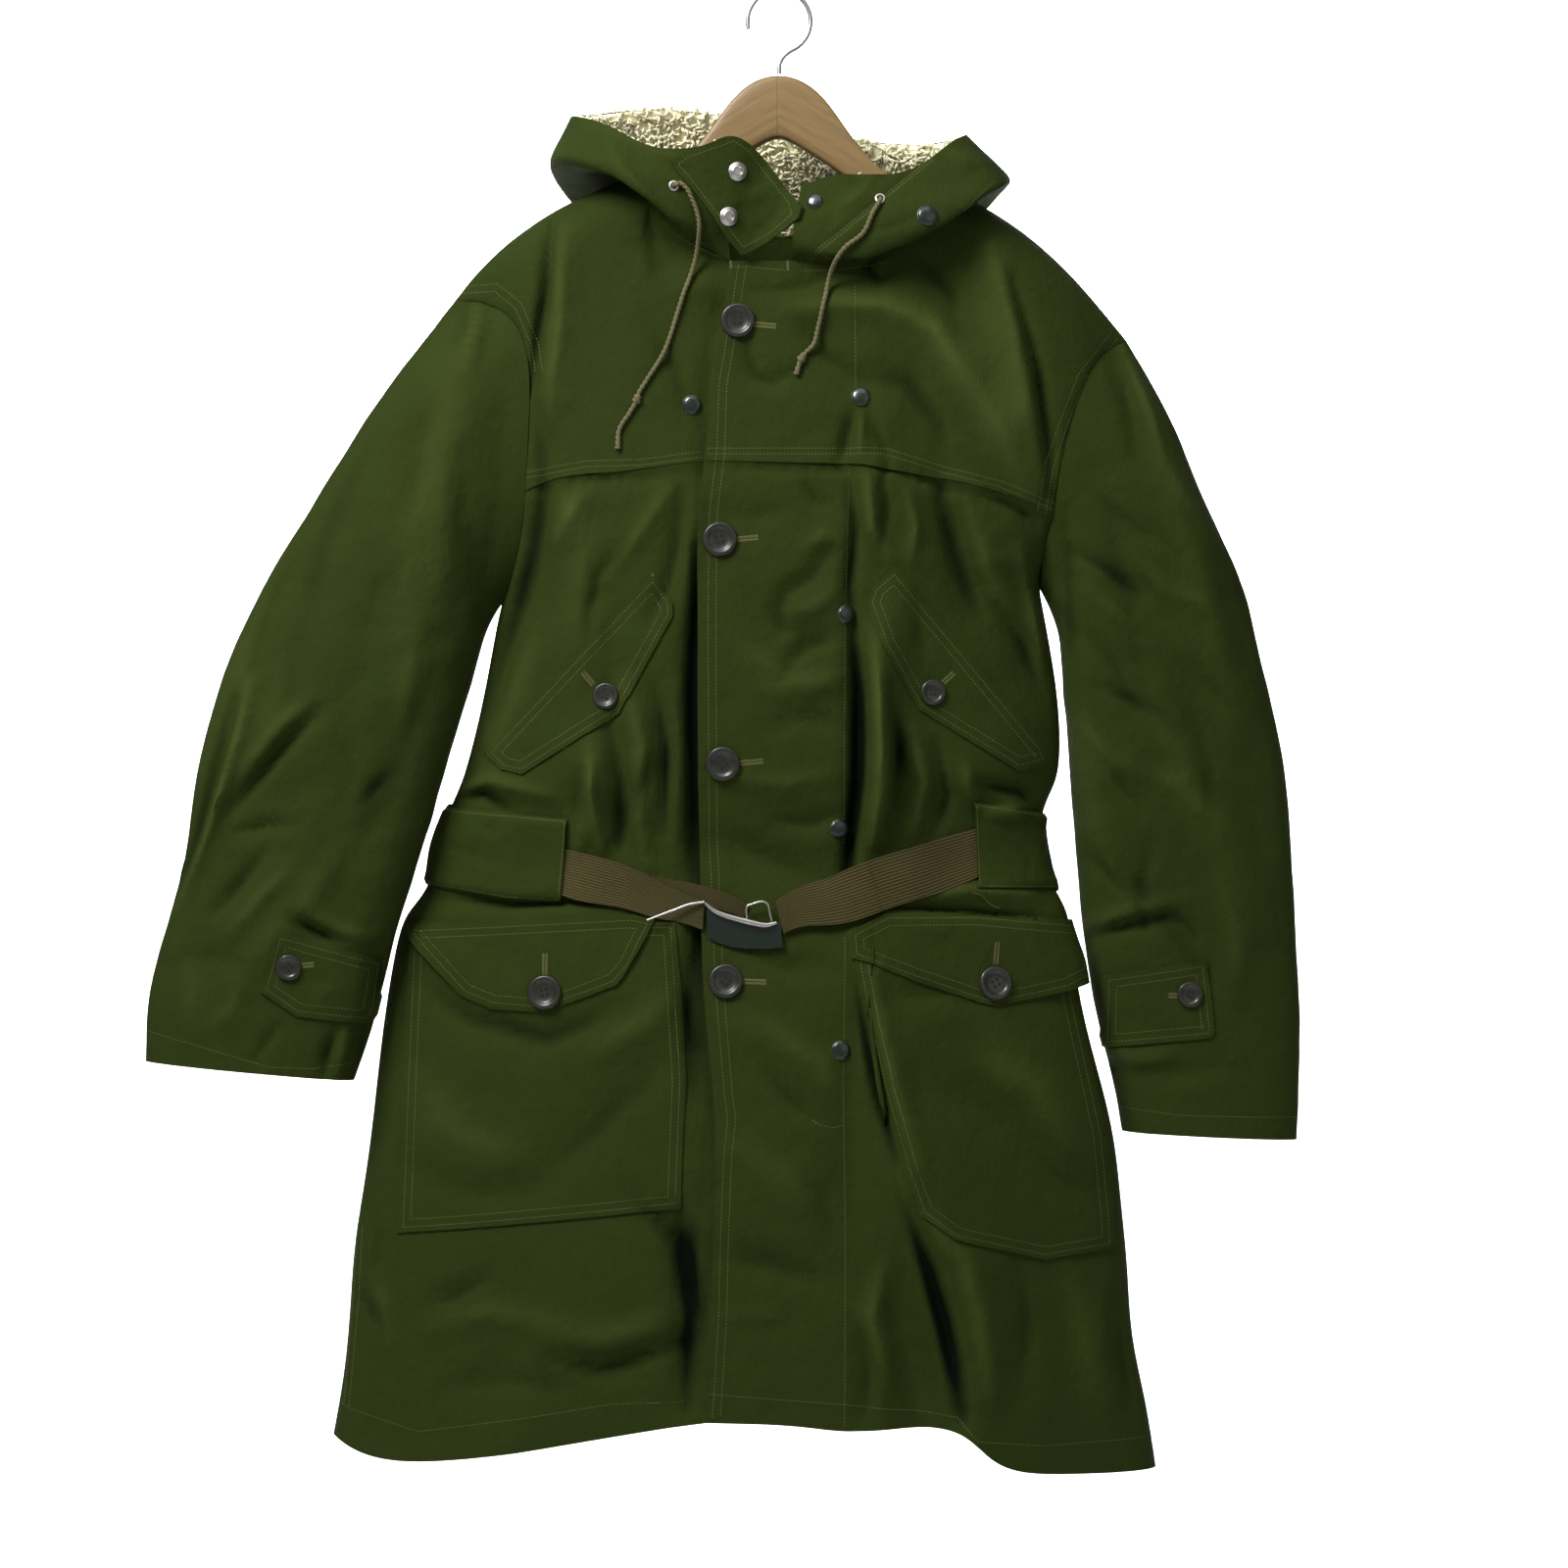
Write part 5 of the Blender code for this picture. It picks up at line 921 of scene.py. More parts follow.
CHEST_CREASES_LEFT = creased([
    (5, -1.3, (112, 510), (114, 534), (120, 558)),
    (6, 1.1, (88, 494), (104, 526), (108, 558)),
    (6, 1.1, (144, 590), (164, 610), (188, 622)),
    (4, -1, (128, 602), (152, 626), (180, 638)),
])
FLAP_CREASES_RIGHT = creased([
    (8, -1.6, (-236, 774), (-220, 798), (-228, 822)),
    (8, 1.4, (-156, 774), (-164, 802), (-156, 818)),
    (5, 1.6, (-284, 770), (-260, 794), (-244, 822)),
])
FLAP_CREASES_LEFT = creased([
    (8, -1.4, (108, 770), (124, 786), (156, 794)),
    (8, 1.2, (204, 774), (212, 798), (228, 814)),
])
CASING_CREASES = creased([
    (4, -1.5, (-272, 703), (-252, 711), (-236, 718)),
    (6, 1.2, (-260, 694), (-236, 698), (-220, 711)),
    (5, -1, (-252, 682), (-236, 690), (-244, 700)),
    (6, -1.2, (192, 694), (204, 710), (200, 734)),
    (4, 1, (172, 690), (188, 698), (204, 694)),
])
TAB_CREASES_RIGHT = creased([
    (5, -2.4, (-328, 790), (-335, 814), (-334, 842)),
    (5, 1.2, (-340, 794), (-345, 818), (-343, 838)),
])
ends_right = curled(ON_POCKET + PATCH, -250, 7, -150, 4)
ends_left = curled(ON_POCKET + PATCH, 80, 0, 200, 7)
on_cloth = flat_on(GAP + PATCH)
EDGES_RIGHT = ([(-330, 668), (-172, 682)], [(-330, 728), (-285, 738), (-224, 748), (-178, 751)])
EDGES_LEFT = ([(159, 668), (210, 676), (300, 690)], [(162, 739), (300, 742)])
EDGES_BACK = ([(-330, 668), (0, 680), (300, 690)], [(-330, 728), (0, 745), (300, 742)])
PATCHES = [
    Patch("right_chest_flap", "chest_flap_right", front_right, CHEST_FLAP_RIGHT, on_cloth, (0.19, 0.08),
          0.0105, CHEST_CREASES_RIGHT),
    Patch("left_chest_flap", "chest_flap_left", front_left, CHEST_FLAP_LEFT, on_cloth, (0.20, 0.08),
          0.0105, CHEST_CREASES_LEFT),
    Patch("right_pocket", "pocket_right", front_right, POCKET_RIGHT, on_cloth, (0.24, 0.26), 0.059, ()),
    Patch("left_pocket", "pocket_left", front_left, POCKET_LEFT, on_cloth, (0.23, 0.27), 0.050, ()),
    Patch("right_pocket_flap", "pocket_flap_right", front_right, POCKET_FLAP_RIGHT, ends_right, (0.21, 0.08),
          0.0125, FLAP_CREASES_RIGHT),
    Patch("left_pocket_flap", "pocket_flap_left", front_left, POCKET_FLAP_LEFT, ends_left, (0.21, 0.08),
          0.0132, FLAP_CREASES_LEFT),
    Patch("right_casing", "belt_casing_right", front_right, CASING_RIGHT, tunnel(GAP + PATCH, *EDGES_RIGHT),
          (0.14, 0.08), 0.0092, CASING_CREASES),
    Patch("left_casing", "belt_casing_left", front_left, CASING_LEFT, tunnel(GAP + PATCH, *EDGES_LEFT),
          (0.09, 0.075), 0.0054, CASING_CREASES),
    Patch("back_casing", "belt_casing_back", back, CASING_BACK, tunnel(GAP + PATCH, *EDGES_BACK),
          (0.55, 0.075), 0.034, ()),
    Patch("right_cuff_tab", "cuff_tab_right", sleeve_right, CUFF_TAB_RIGHT, on_cloth, (0.10, 0.07), 0.0063,
          TAB_CREASES_RIGHT),
    Patch("left_cuff_tab", "cuff_tab_left", sleeve_left, CUFF_TAB_LEFT, on_cloth, (0.10, 0.07), 0.0066, ()),
]
PANELS = (front_right, front_left, yoke_right, yoke_left, sleeve_right, sleeve_left, hood)
surfaces = {panel.name: panel.tree() for panel in PANELS}
for patch in PATCHES:
    piece, surfaces[patch.node] = cut_out(patch.name, patch.cloth, patch.outline, patch.lift, patch.creases)
    declared(piece, patch.node)

# Throat tab
# A short strap of two layers, stitched to the collar's right end, that snaps across the throat.
throat_tab = Cloth("throat_tab", 3, TAB_CREASES, FRONT, 0.5)
throat_tab.wall("throat_tab_cloth", (0.12, 0.06), 0.0062)
surfaces["throat_tab"] = throat_tab.tree()

# Topstitching, buttonholes and bartacks
# Olive thread a little paler than the cloth: two rows at most seams and one at the hems.
# Buttonholes and bartacks are rows of short stitches side by side.
thread = Finish("olive_thread", 0.75)
thread.set("Base Color", (0.125, 0.12, 0.045, 1))
thread.set("Specular IOR Level", 0.2)
Run = namedtuple("Run", "surfaces line beside", defaults=((0.0,),))
RIGHT, LEFT, HOOD = ("front_right", "yoke_right"), ("front_left", "yoke_left"), ("hood",)
SLEEVE_R, SLEEVE_L = ("sleeve_right",), ("sleeve_left",)
RUNS = [
    Run(LEFT, [
        (-40.8, 228.8), (-48.8, 280.8), (-56.8, 328), (-58.4, 381.6), (-64.8, 435.2),
        (-65.6, 525.6), (-64.8, 701.6), (-61.6, 764.8), (-60, 813.6), (-56, 860.8), (-52, 906.4),
        (-49.6, 924.8), (-52.8, 956), (-55.2, 1016.8), (-56.8, 1085.6), (-61.6, 1164),
    ], (8.0, 14.4)),
    Run(LEFT, [(-39.2, 228), (-23.2, 228), (7.2, 231.2)], (-5.0,)),
    Run(LEFT, [(20, 231.2), (52, 229.6), (88, 224)], (-5.0,)),
    Run(LEFT, [(61.6, 245.6), (62.4, 343.2)]),
    Run(LEFT, [(56.8, 397.6), (53.6, 525.6), (52.8, 701.6)]),
    Run(LEFT, [(53.6, 777.6), (52, 893.6), (53.6, 1013.6), (52.8, 1173.6)]),
    Run(LEFT, [(26.4, 925.6), (34.4, 930.4), (44, 932), (53.6, 930.4)]),
    Run(RIGHT, [(-205.6, 411.2), (-156, 403.2), (-112, 402.4), (-62.4, 396)], (8.0, 12.6)),
    Run(LEFT, [(-58.4, 393.6), (84, 393.6), (132, 408), (176.8, 419.2), (221.6, 436.8)], (8.0, 12.6)),
    Run(RIGHT, [(-272, 253.6), (-236, 253.6), (-220, 267.2), (-207.2, 296.8), (-204, 317.6)], (5.0, 11.0)),
    Run(LEFT, [(284, 289.6), (256, 325.6), (240, 365.6), (229.6, 397.6), (224, 432.8)], (-6.0, -13.0)),
    Run(RIGHT, [(-360.8, 1164), (-294.4, 1180.8), (-208.8, 1166.4), (-135.2, 1154.4), (-76, 1152.8)]),
    Run(LEFT, [
        (-57.6, 1145.6), (53.6, 1154.4), (144, 1165.6), (160, 1184), (216, 1190.4),
        (303.2, 1190.4),
    ]),
    Run(RIGHT, [(-348, 1016.8), (-350.4, 1069.6), (-356, 1133.6), (-358.4, 1164)], (0.0, 5.0)),
    Run(SLEEVE_R, [(-516.8, 854.4), (-472.8, 865.6), (-413.6, 883.2), (-376.8, 884.8), (-348, 880.8)]),
    Run(SLEEVE_L, [(272.8, 920), (332, 927.2), (428.8, 929.6)]),
    Run(HOOD, [(124, 144), (81.6, 180.8), (52, 205.6), (23.2, 226.4)], (0.0, 2.4)),
    Run(HOOD, [(176, 162.4), (144, 196)]),
]
BUTTONHOLES = [
    Run(LEFT, [(-20, 280), (-2.4, 281.6)]),
    Run(LEFT, [(-34.4, 455.2), (-16.8, 453.6)]),
    Run(LEFT, [(-32, 636.8), (-12.8, 635.2)]),
    Run(LEFT, [(-29.6, 813.6), (-10.4, 814.4)]),
    Run(("chest_flap_right",), [(-160, 562.4), (-151.2, 572.8)]),
    Run(("chest_flap_left",), [(142.4, 563.2), (133.6, 571.2)]),
    Run(("pocket_flap_right",), [(-190.4, 791.2), (-190.4, 808.8)]),
    Run(("pocket_flap_left",), [(178.4, 782.4), (176.8, 800.8)]),
    Run(("cuff_tab_right",), [(-386.4, 800.8), (-376.8, 800)]),
    Run(("cuff_tab_left",), [(320.8, 828), (328.8, 828)]),
]
BARTACKS = [
    Run(LEFT, [(-39.2, 226.4), (-39.2, 234.4)]),
    Run(LEFT, [(7.2, 228), (7.2, 236)]),
    Run(("pocket_right",), [(-307.2, 787.2), (-307.2, 797.6)]),
    Run(("pocket_left",), [(63.2, 763.2), (69.6, 761.6)]),
    Run(("chest_flap_left",), [(90.4, 472), (93.6, 474.4)]),
    Run(("chest_flap_right",), [(-104.8, 482.4), (-101.6, 484.8)]),
]
STITCH_PITCH, STITCH_LONG, STITCH_WIDE, STITCH_HIGH, STITCH_SUNK, STITCH_TOP = 2.8, 1.9, 0.75, 0.42, 0.2, 0.5
HOLE_PITCH, HOLE_LONG, HOLE_GAP = 0.8, 2.3, 1.3
PATCH_ROWS, CASING_ROWS, TAB_ROWS = (4.4, 10.4), (2.4,), (3.0,)
STITCH_FACES = ((0, 1, 5, 4), (2, 3, 4, 5), (1, 2, 5), (3, 0, 4))  # of four low corners and two high ones


def seen_from_front(trees, x, drop):
    """The nearest place to the viewer on some surfaces, and its normal towards the front."""
    start = Vector((x * MM, -1.0, -drop * MM))
    hits = [tree.ray_cast(start, Vector((0, 1, 0))) for tree in trees]
    hits = [hit for hit in hits if hit[0] is not None]
    if not hits:
        return None
    place, normal = min(hits, key=lambda hit: hit[3])[:2]
    return np.array(place) / MM, np.array(-normal if normal.y > 0 else normal)


def beside(line, distance, closed=False):
    """A line beside another, on the side where a line drawn down the front has +X."""
    points = np.array(line, float)
    steps = np.diff(np.vstack([points, points[:1]]) if closed else points, axis=0)
    ways = steps / np.linalg.norm(steps, axis=1, keepdims=True)
    sides = np.stack([ways[:, 1], -ways[:, 0]], axis=1)
    before = np.roll(sides, 1, axis=0) if closed else np.vstack([sides[:1], sides])
    after = sides if closed else np.vstack([sides, sides[-1:]])
    corner = before + after
    corner /= np.sum(corner * after, axis=1, keepdims=True)
    moved = points + corner * distance
    return np.vstack([moved, moved[:1]]) if closed else moved


def inside(outline, distance):
    """A closed line inside an outline."""
    points = np.array(outline, float)
    after = np.roll(points, -1, axis=0)
    area = np.sum(points[:, 0] * after[:, 1] - after[:, 0] * points[:, 1])
    return beside(outline, -math.copysign(distance, area), closed=True)


def steps_along(line, pitch):
    """Places every pitch along a line, each with the way it runs there."""
    line = np.array(line, float)
    legs = np.diff(line, axis=0)
    lengths = np.linalg.norm(legs, axis=1)
    ends = np.concatenate([[0], np.cumsum(lengths)])
    for along in np.arange(pitch / 2, ends[-1], pitch):
        leg = min(int(np.searchsorted(ends, along, side="right")) - 1, len(legs) - 1)
        yield line[leg] + legs[leg] * ((along - ends[leg]) / lengths[leg]), legs[leg] / lengths[leg]


class Thread:
    """Many stitches in one mesh."""

    def __init__(self):
        self.points, self.faces = [], []

    def stitch(self, trees, at, way, length=STITCH_LONG, width=STITCH_WIDE):
        seen = seen_from_front(trees, *at)
        if seen is None:
            return
        place, normal = seen
        ahead = np.array([way[0], 0.0, -way[1]])
        ahead -= normal * (ahead @ normal)
        ahead *= length / 2 / np.linalg.norm(ahead)
        side = np.cross(normal, ahead)
        side *= width / 2 / np.linalg.norm(side)
        low, top = place - normal * STITCH_SUNK, place + normal * STITCH_HIGH
        start = len(self.points)
        self.points += [low - ahead - side, low + ahead - side, low + ahead + side, low - ahead + side]
        self.points += [top - ahead * STITCH_TOP, top + ahead * STITCH_TOP]
        self.faces += [[start + corner for corner in face] for face in STITCH_FACES]

    def row(self, run):
        """Rows beside a line."""
        trees = [surfaces[name] for name in run.surfaces]
        for distance in run.beside:
            for at, way in steps_along(beside(run.line, distance), STITCH_PITCH):
                self.stitch(trees, at, way)

    def around(self, name, outline, distances):
        """Rows inside the edge of a piece."""
        for distance in distances:
            for at, way in steps_along(inside(outline, distance), STITCH_PITCH):
                self.stitch([surfaces[name]], at, way)

    def buttonhole(self, run, gap=HOLE_GAP):
        """Two close rows of stitches across a line, or one row where there is no gap."""
        trees = [surfaces[name] for name in run.surfaces]
        for side in ((-1, 1) if gap else (0,)):
            for at, way in steps_along(beside(run.line, side * gap), HOLE_PITCH):
                across = np.array([way[1], -way[0]])
                self.stitch(trees, at, across, HOLE_LONG, HOLE_PITCH)

    def finish(self, name):
        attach(as_object(name, mesh_of(name, self.points, self.faces), thread.material), "root")


topstitching = Thread()
for run in RUNS:
    topstitching.row(run)
for name, outline in (
    ("chest_flap_right", CHEST_FLAP_RIGHT), ("chest_flap_left", CHEST_FLAP_LEFT),
    ("pocket_right", POCKET_RIGHT), ("pocket_left", POCKET_LEFT),
    ("pocket_flap_right", POCKET_FLAP_RIGHT), ("pocket_flap_left", POCKET_FLAP_LEFT),
    ("cuff_tab_right", CUFF_TAB_RIGHT), ("cuff_tab_left", CUFF_TAB_LEFT),
):
    topstitching.around(name, outline, PATCH_ROWS)
topstitching.around("belt_casing_right", CASING_RIGHT, CASING_ROWS)
topstitching.around("belt_casing_left", CASING_LEFT, CASING_ROWS)
topstitching.around("throat_tab", THROAT_TAB, TAB_ROWS)
topstitching.finish("topstitching")
holes = Thread()
for run in BUTTONHOLES:
    holes.buttonhole(run)
for run in BARTACKS:
    holes.buttonhole(run, 0)
holes.finish("buttonholes")

# Belt and buckle
# Ribbed elastic webbing, its two ends held by a stamped buckle that hangs askew: a curved bar, a
# wire ring, a prong and a plain enamelled plate.
WEB, WEB_UNEVEN, RIBS = 1.3, 0.35, 16.0


def webbing():
    finish = Finish("ribbed_webbing", 0.85)
    rib = finish.attribute("across")
    ribs = (rib * (2 * math.pi * RIBS)).sine()
    worn = finish.noise(22.0, 4.0)
    tone = finish.blend(worn, (0.044, 0.036, 0.009, 1), (0.074, 0.061, 0.019, 1))
    # The grooves between the ribs are painted darker, as painted shade.
    finish.set("Base Color", finish.blend((ribs * -0.25 + 0.1).clamped(), tone, (0.022, 0.016, 0.005, 1)))
    finish.set("Specular IOR Level", 0.2)
    finish.bump(ribs * 0.5 + finish.noise(1400.0, 2.0) * 0.15, 0.0007, 0.8)
    return finish.material


WEBBING = webbing()
WebEdge = namedtuple("WebEdge", "top bottom")
WEB_RIGHT = WebEdge(
    [(-196, 703), (-148, 713), (-125, 720), (-102, 731), (-76, 743), (-61, 750)],
    [(-196, 738), (-148, 751), (-125, 755), (-102, 762), (-76, 767), (-62, 772)],
)
WEB_LEFT = WebEdge(
    [(-3, 749), (19, 736), (37, 731), (54, 723), (82, 713), (120, 702), (173, 688)],
    [(4, 775), (19, 769), (37, 768), (54, 766), (82, 757), (120, 745), (173, 725)],
)
STRAP = WebEdge(
    [(-122, 722), (-90, 731), (-63, 736), (-41, 743), (-25, 752)],
    [(-120, 738), (-92, 748), (-66, 752), (-44, 757), (-29, 762)],
)


def belt_piece(name, node, edges):
    """A strip of webbing, with how far across it each point is, for its ribs."""
    strip = Cloth(node, 3, (), FRONT, WEB_UNEVEN, WEB)
    x, drop = across_and_down(points_of(strip.mesh))
    top, bottom = np.interp(x, *zip(*edges.top)), np.interp(x, *zip(*edges.bottom))
    across = strip.mesh.attributes.new("across", "FLOAT", "POINT")
    across.data.foreach_set("value", ((drop - top) / (bottom - top)).astype(np.float32))
    declared(thickened(name, strip.mesh, WEB, WEBBING), node)
    surfaces[node] = strip.tree()
    return strip


belt_piece("right_webbing", "belt_webbing_right", WEB_RIGHT)
left_strip = belt_piece("left_webbing", "belt_webbing_left", WEB_LEFT)
strap = belt_piece("belt_end", "belt_strap", STRAP)
SLIDER_LIFT, DOUBLED_LIFT = 1.8, 1.5
SLIDER = [(-124, 717), (-107, 721), (-103, 738), (-107, 749), (-122, 744)]
slider, surfaces["slider"] = cut_out("belt_slider", strap, SLIDER, flat_on(SLIDER_LIFT), (), WEBBING)
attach(slider, "root")
DOUBLED = [(8, 700), (67, 700), (91, 790), (8, 790)]
doubled, surfaces["doubled"] = cut_out(
    "doubled_webbing", left_strip, DOUBLED, flat_on(DOUBLED_LIFT), (), WEBBING,
)
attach(doubled, "root")


def metal(name, colour, roughness):
    """A worn metal, darker and duller in patches."""
    finish = Finish(name, roughness, 1.0)
    worn = finish.noise(60.0, 4.0)
    dark = tuple(c * 0.55 for c in colour[:3]) + (1,)
    finish.set("Base Color", finish.blend(worn, colour, dark))
    finish.set("Roughness", worn * 0.2 + roughness - 0.05)
    return finish.material


NICKEL = metal("worn_nickel", (0.66, 0.64, 0.60, 1), 0.3)
BLACKENED = metal("worn_blackened_brass", (0.16, 0.17, 0.13, 1), 0.35)
ENAMEL = speckled(
    "dark_green_enamel", 0.28, (240.0, 4.0), ((0.003, 0.010, 0.006, 1), (0.008, 0.018, 0.011, 1)),
    (0.0003, 0.4), Coat_Weight=0.4,
)


def smooth_line(points, count):
    """Evenly spaced points on a smooth line through the given ones."""
    knots = np.array(points, float)
    steps = np.linalg.norm(np.diff(knots, axis=0), axis=1)
    along = np.concatenate([[0.0], np.cumsum(steps)]) / steps.sum()
    slopes = np.gradient(knots, along, axis=0)
    found = []
    for f in np.linspace(0, 1, count):
        i = min(max(int(np.searchsorted(along, f, side="right")) - 1, 0), len(steps) - 1)
        width = along[i + 1] - along[i]
        s = (f - along[i]) / width
        found.append(
            (2 * s**3 - 3 * s**2 + 1) * knots[i] + (s**3 - 2 * s**2 + s) * width * slopes[i]
            + (3 * s**2 - 2 * s**3) * knots[i + 1] + (s**3 - s**2) * width * slopes[i + 1]
        )
    return np.array(found)


def tube_mesh(name, path, radii, sides, twist=0.0, lobes=0, lobe=0.0):
    """A round bar along a path. A twisted cord has lobes that turn round it as it goes."""
    path = np.array(path, float)
    radii = np.broadcast_to(radii, len(path))
    tangents = np.gradient(path, axis=0)
    tangents /= np.linalg.norm(tangents, axis=1, keepdims=True)
    side = np.cross(tangents[0], (0.0, 1.0, 0.0) if abs(tangents[0][1]) < 0.9 else (1.0, 0.0, 0.0))
    points, gone = [], 0.0
    for i, (place, tangent) in enumerate(zip(path, tangents)):
        gone += np.linalg.norm(place - path[i - 1]) if i else 0.0
        side = side - tangent * (side @ tangent)
        side /= np.linalg.norm(side)
        other = np.cross(tangent, side)
        for k in range(sides):
            turn = 2 * math.pi * k / sides
            r = radii[i] * (1 + lobe * math.cos(lobes * turn + twist * gone))
            points.append(place + r * (side * math.cos(turn) + other * math.sin(turn)))
    faces = ring_faces(len(path), sides)
    faces += [list(range(sides))[::-1], [len(points) - sides + k for k in range(sides)]]
    mesh = mesh_of(name, points, faces)
    mesh.set_sharp_from_angle(angle=TUBE_SHARP)
    return mesh


def metal_bar(name, node, path, radii, count):
    """A bent bar of uneven thickness, as deep in the coat as the solid that it replaces."""
    line = smooth_line([(x, 0.0, -drop) for x, drop in path], count)
    line[:, 1] = sum(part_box(node), Vector()).y / 2 / MM
    thickness = np.interp(np.linspace(0, 1, count), np.linspace(0, 1, len(radii)), radii)
    piece = as_object(name, tube_mesh(name, line, thickness, BAR_SIDES), NICKEL)
    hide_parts(node)
    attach(piece, "root")


BAR_SIDES = 14
BAR = [(-60, 750), (-53, 756), (-44, 760), (-34, 763), (-22, 766), (-10, 768), (-2, 766)]
metal_bar("buckle_curved_bar", "buckle_bar", BAR, [1.2, 1.9, 2.2, 2.4, 2.4, 2.2, 1.2], 40)
RING = [
    (-26, 762.3), (-26.6, 756), (-25.6, 752.4), (-22, 751), (-12, 749.2), (-9.2, 751), (-8, 756), (-6, 764.6),
]
metal_bar("buckle_wire_ring", "buckle_ring", RING, [0.9], 50)
PRONG = [(-60.6, 749.2), (-72, 751), (-86, 756), (-98, 760.5), (-107, 764)]
metal_bar("buckle_tongue", "buckle_prong", PRONG, [1.1, 1.1, 1.0, 0.9, 0.7], 30)


def refined(name, node, levels, material, bevel=0.0):
    """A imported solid's own form with its edges softened."""
    body = bmesh.new()
    body.from_mesh(nodes[node].data)
    bmesh.ops.remove_doubles(body, verts=body.verts, dist=SAME_POINT_M)
    in_quads(body)
    if bevel:
        sharp = [e for e in body.edges if e.calc_face_angle(0) > BEVELLED]
        bmesh.ops.bevel(body, geom=sharp, offset=bevel * MM, segments=2, affect="EDGES", profile=0.7)
    mesh = bpy.data.meshes.new(name)
    body.to_mesh(mesh)
    body.free()
    if levels:
        mesh = subdivided(mesh, levels)
    mesh.shade_smooth()
    mesh.set_sharp_from_angle(angle=SOLID_SHARP)
    piece = as_object(name, mesh, material)
    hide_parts(node)
    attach(piece, "root")


refined("buckle_enamel_plate", "buckle_plate", 0, ENAMEL, 0.35)

# Armhole seam allowance
# The turned-in edges of the left armhole, seen where the seam gapes at the shoulder point.
SEAM_LINE = [(246, 333), (252, 322), (259, 311), (266, 301), (273, 295), (280, 290)]
SEAM_RADIUS = 2.6


def seam_allowance():
    """A soft roll just behind the two pieces that meet at the seam."""
    trees = [surfaces["yoke_left"], surfaces["sleeve_left"]]
    path = []
    for x, drop in smooth_line(SEAM_LINE, 24):
        near = [seen_from_front(trees, x + dx, drop + dd) for dx in (-7, 0, 7) for dd in (-4, 4)]
        path.append((x, max(hit[0][1] for hit in near if hit is not None) + SEAM_RADIUS, -drop))
    mesh = tube_mesh("left_armhole_allowance", smooth_line(path, 30), SEAM_RADIUS, 10)
    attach(as_object("left_armhole_allowance", mesh, GREEN_COTTON), "root")


seam_allowance()

# Buttons, snaps, sockets and eyelets
# Pressed horn-coloured buttons with a raised rim and four holes, each hole a near-black disc of painted
# shade, dark enamelled snap caps with a bright edge, and nickel rings.
BUTTON_PROFILE = [
    (0, 0), (0.8, 0), (0.95, 0.03), (1, 0.1), (1, 0.18), (0.96, 0.25), (0.9, 0.28), (0.72, 0.27), (0.66, 0.2),
    (0.58, 0.15), (0.3, 0.14), (0, 0.14),
]
SNAP_PROFILE = [(0, 0), (1, 0), (1, 0.1), (0.94, 0.2), (0.8, 0.28), (0.5, 0.35), (0, 0.38)]
SOCKET_PROFILE = [
    (0, 0), (1, 0), (1.02, 0.06), (0.96, 0.14), (0.8, 0.17), (0.68, 0.3), (0.6, 0.38), (0.48, 0.38),
    (0.42, 0.3), (0.38, 0.14), (0.2, 0.12), (0, 0.12),
]
EYELET_PROFILE = [(0.5, -0.1), (0.5, 0.16), (0.6, 0.28), (0.78, 0.28), (0.94, 0.18), (1, 0), (0.9, -0.1)]
SNAP_RIM = [(0.96, -0.02), (1.03, 0.0), (1.04, 0.06), (1.0, 0.1), (0.95, 0.1)]
HOLE_PROFILE = [(0, 0), (1, 0), (1, -0.2)]
HORN = speckled(
    "pressed_horn", 0.34, (150.0, 3.0), ((0.008, 0.009, 0.005, 1), (0.021, 0.022, 0.014, 1)), Coat_Weight=0.2,
)
# The buttons' holes are near-black discs: painted shade for their depth.
hole_shade = Finish("buttonhole_shadow", 0.9)
hole_shade.set("Base Color", (0.004, 0.004, 0.003, 1))
TURN_SIDES, HOLE_SIDES = 36, 14
HOLE_SPREAD, HOLE_RADIUS, HOLE_HEIGHT = 0.16, 0.1, 0.155  # in a button's radius
HOLE_CORNERS = ((1, 1), (1, -1), (-1, -1), (-1, 1))
SEAT_POINTS, SEAT_REACH, SEAT_GAP = 6, 0.7, 0.15
BUTTON_TURN = 0.3


def lathed(points, faces, profile, place, axes, radius, sides=TURN_SIDES):
    """Adds a turned shape to a list of points and faces. The axes are two sides and the way out."""
    side, other, out = axes
    start = len(points)
    for r, h in profile:
        for k in range(sides):
            turn = 2 * math.pi * k / sides
            points.append(place + radius * (r * (side * math.cos(turn) + other * math.sin(turn)) + h * out))
    faces += ring_faces(len(profile), sides, start)


def seat(tree, x, drop, radius):
    """Where a flat disc rests on a surface, clear of it all round, and its axes."""
    reach, found = radius * SEAT_REACH, []
    for k in range(SEAT_POINTS):
        turn = k * 2 * math.pi / SEAT_POINTS
        found.append(seen_from_front([tree], x + math.cos(turn) * reach, drop + math.sin(turn) * reach))
    normal = np.mean([hit[1] for hit in found if hit is not None], axis=0)
    normal /= np.linalg.norm(normal)
    centre = seen_from_front([tree], x, drop)[0]
    rise = max([(hit[0] - centre) @ normal for hit in found if hit is not None] + [0.0])
    side = np.cross(normal, (0.0, 0.0, 1.0))
    side /= np.linalg.norm(side)
    return centre + normal * (rise + SEAT_GAP), (side, np.cross(normal, side), normal)


def mesh_object(name, points, faces, material):
    """A solid object with its doubled points joined and its faces turned outwards."""
    mesh = mesh_of(name, points, faces)
    body = bmesh.new()
    body.from_mesh(mesh)
    bmesh.ops.remove_doubles(body, verts=body.verts, dist=SAME_POINT_M / 4)
    bmesh.ops.recalc_face_normals(body, faces=body.faces)
    body.to_mesh(mesh)
    body.free()
    mesh.shade_smooth()
    mesh.set_sharp_from_angle(angle=SOLID_SHARP)
    piece = as_object(name, mesh, material)
    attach(piece, "root")
    return piece


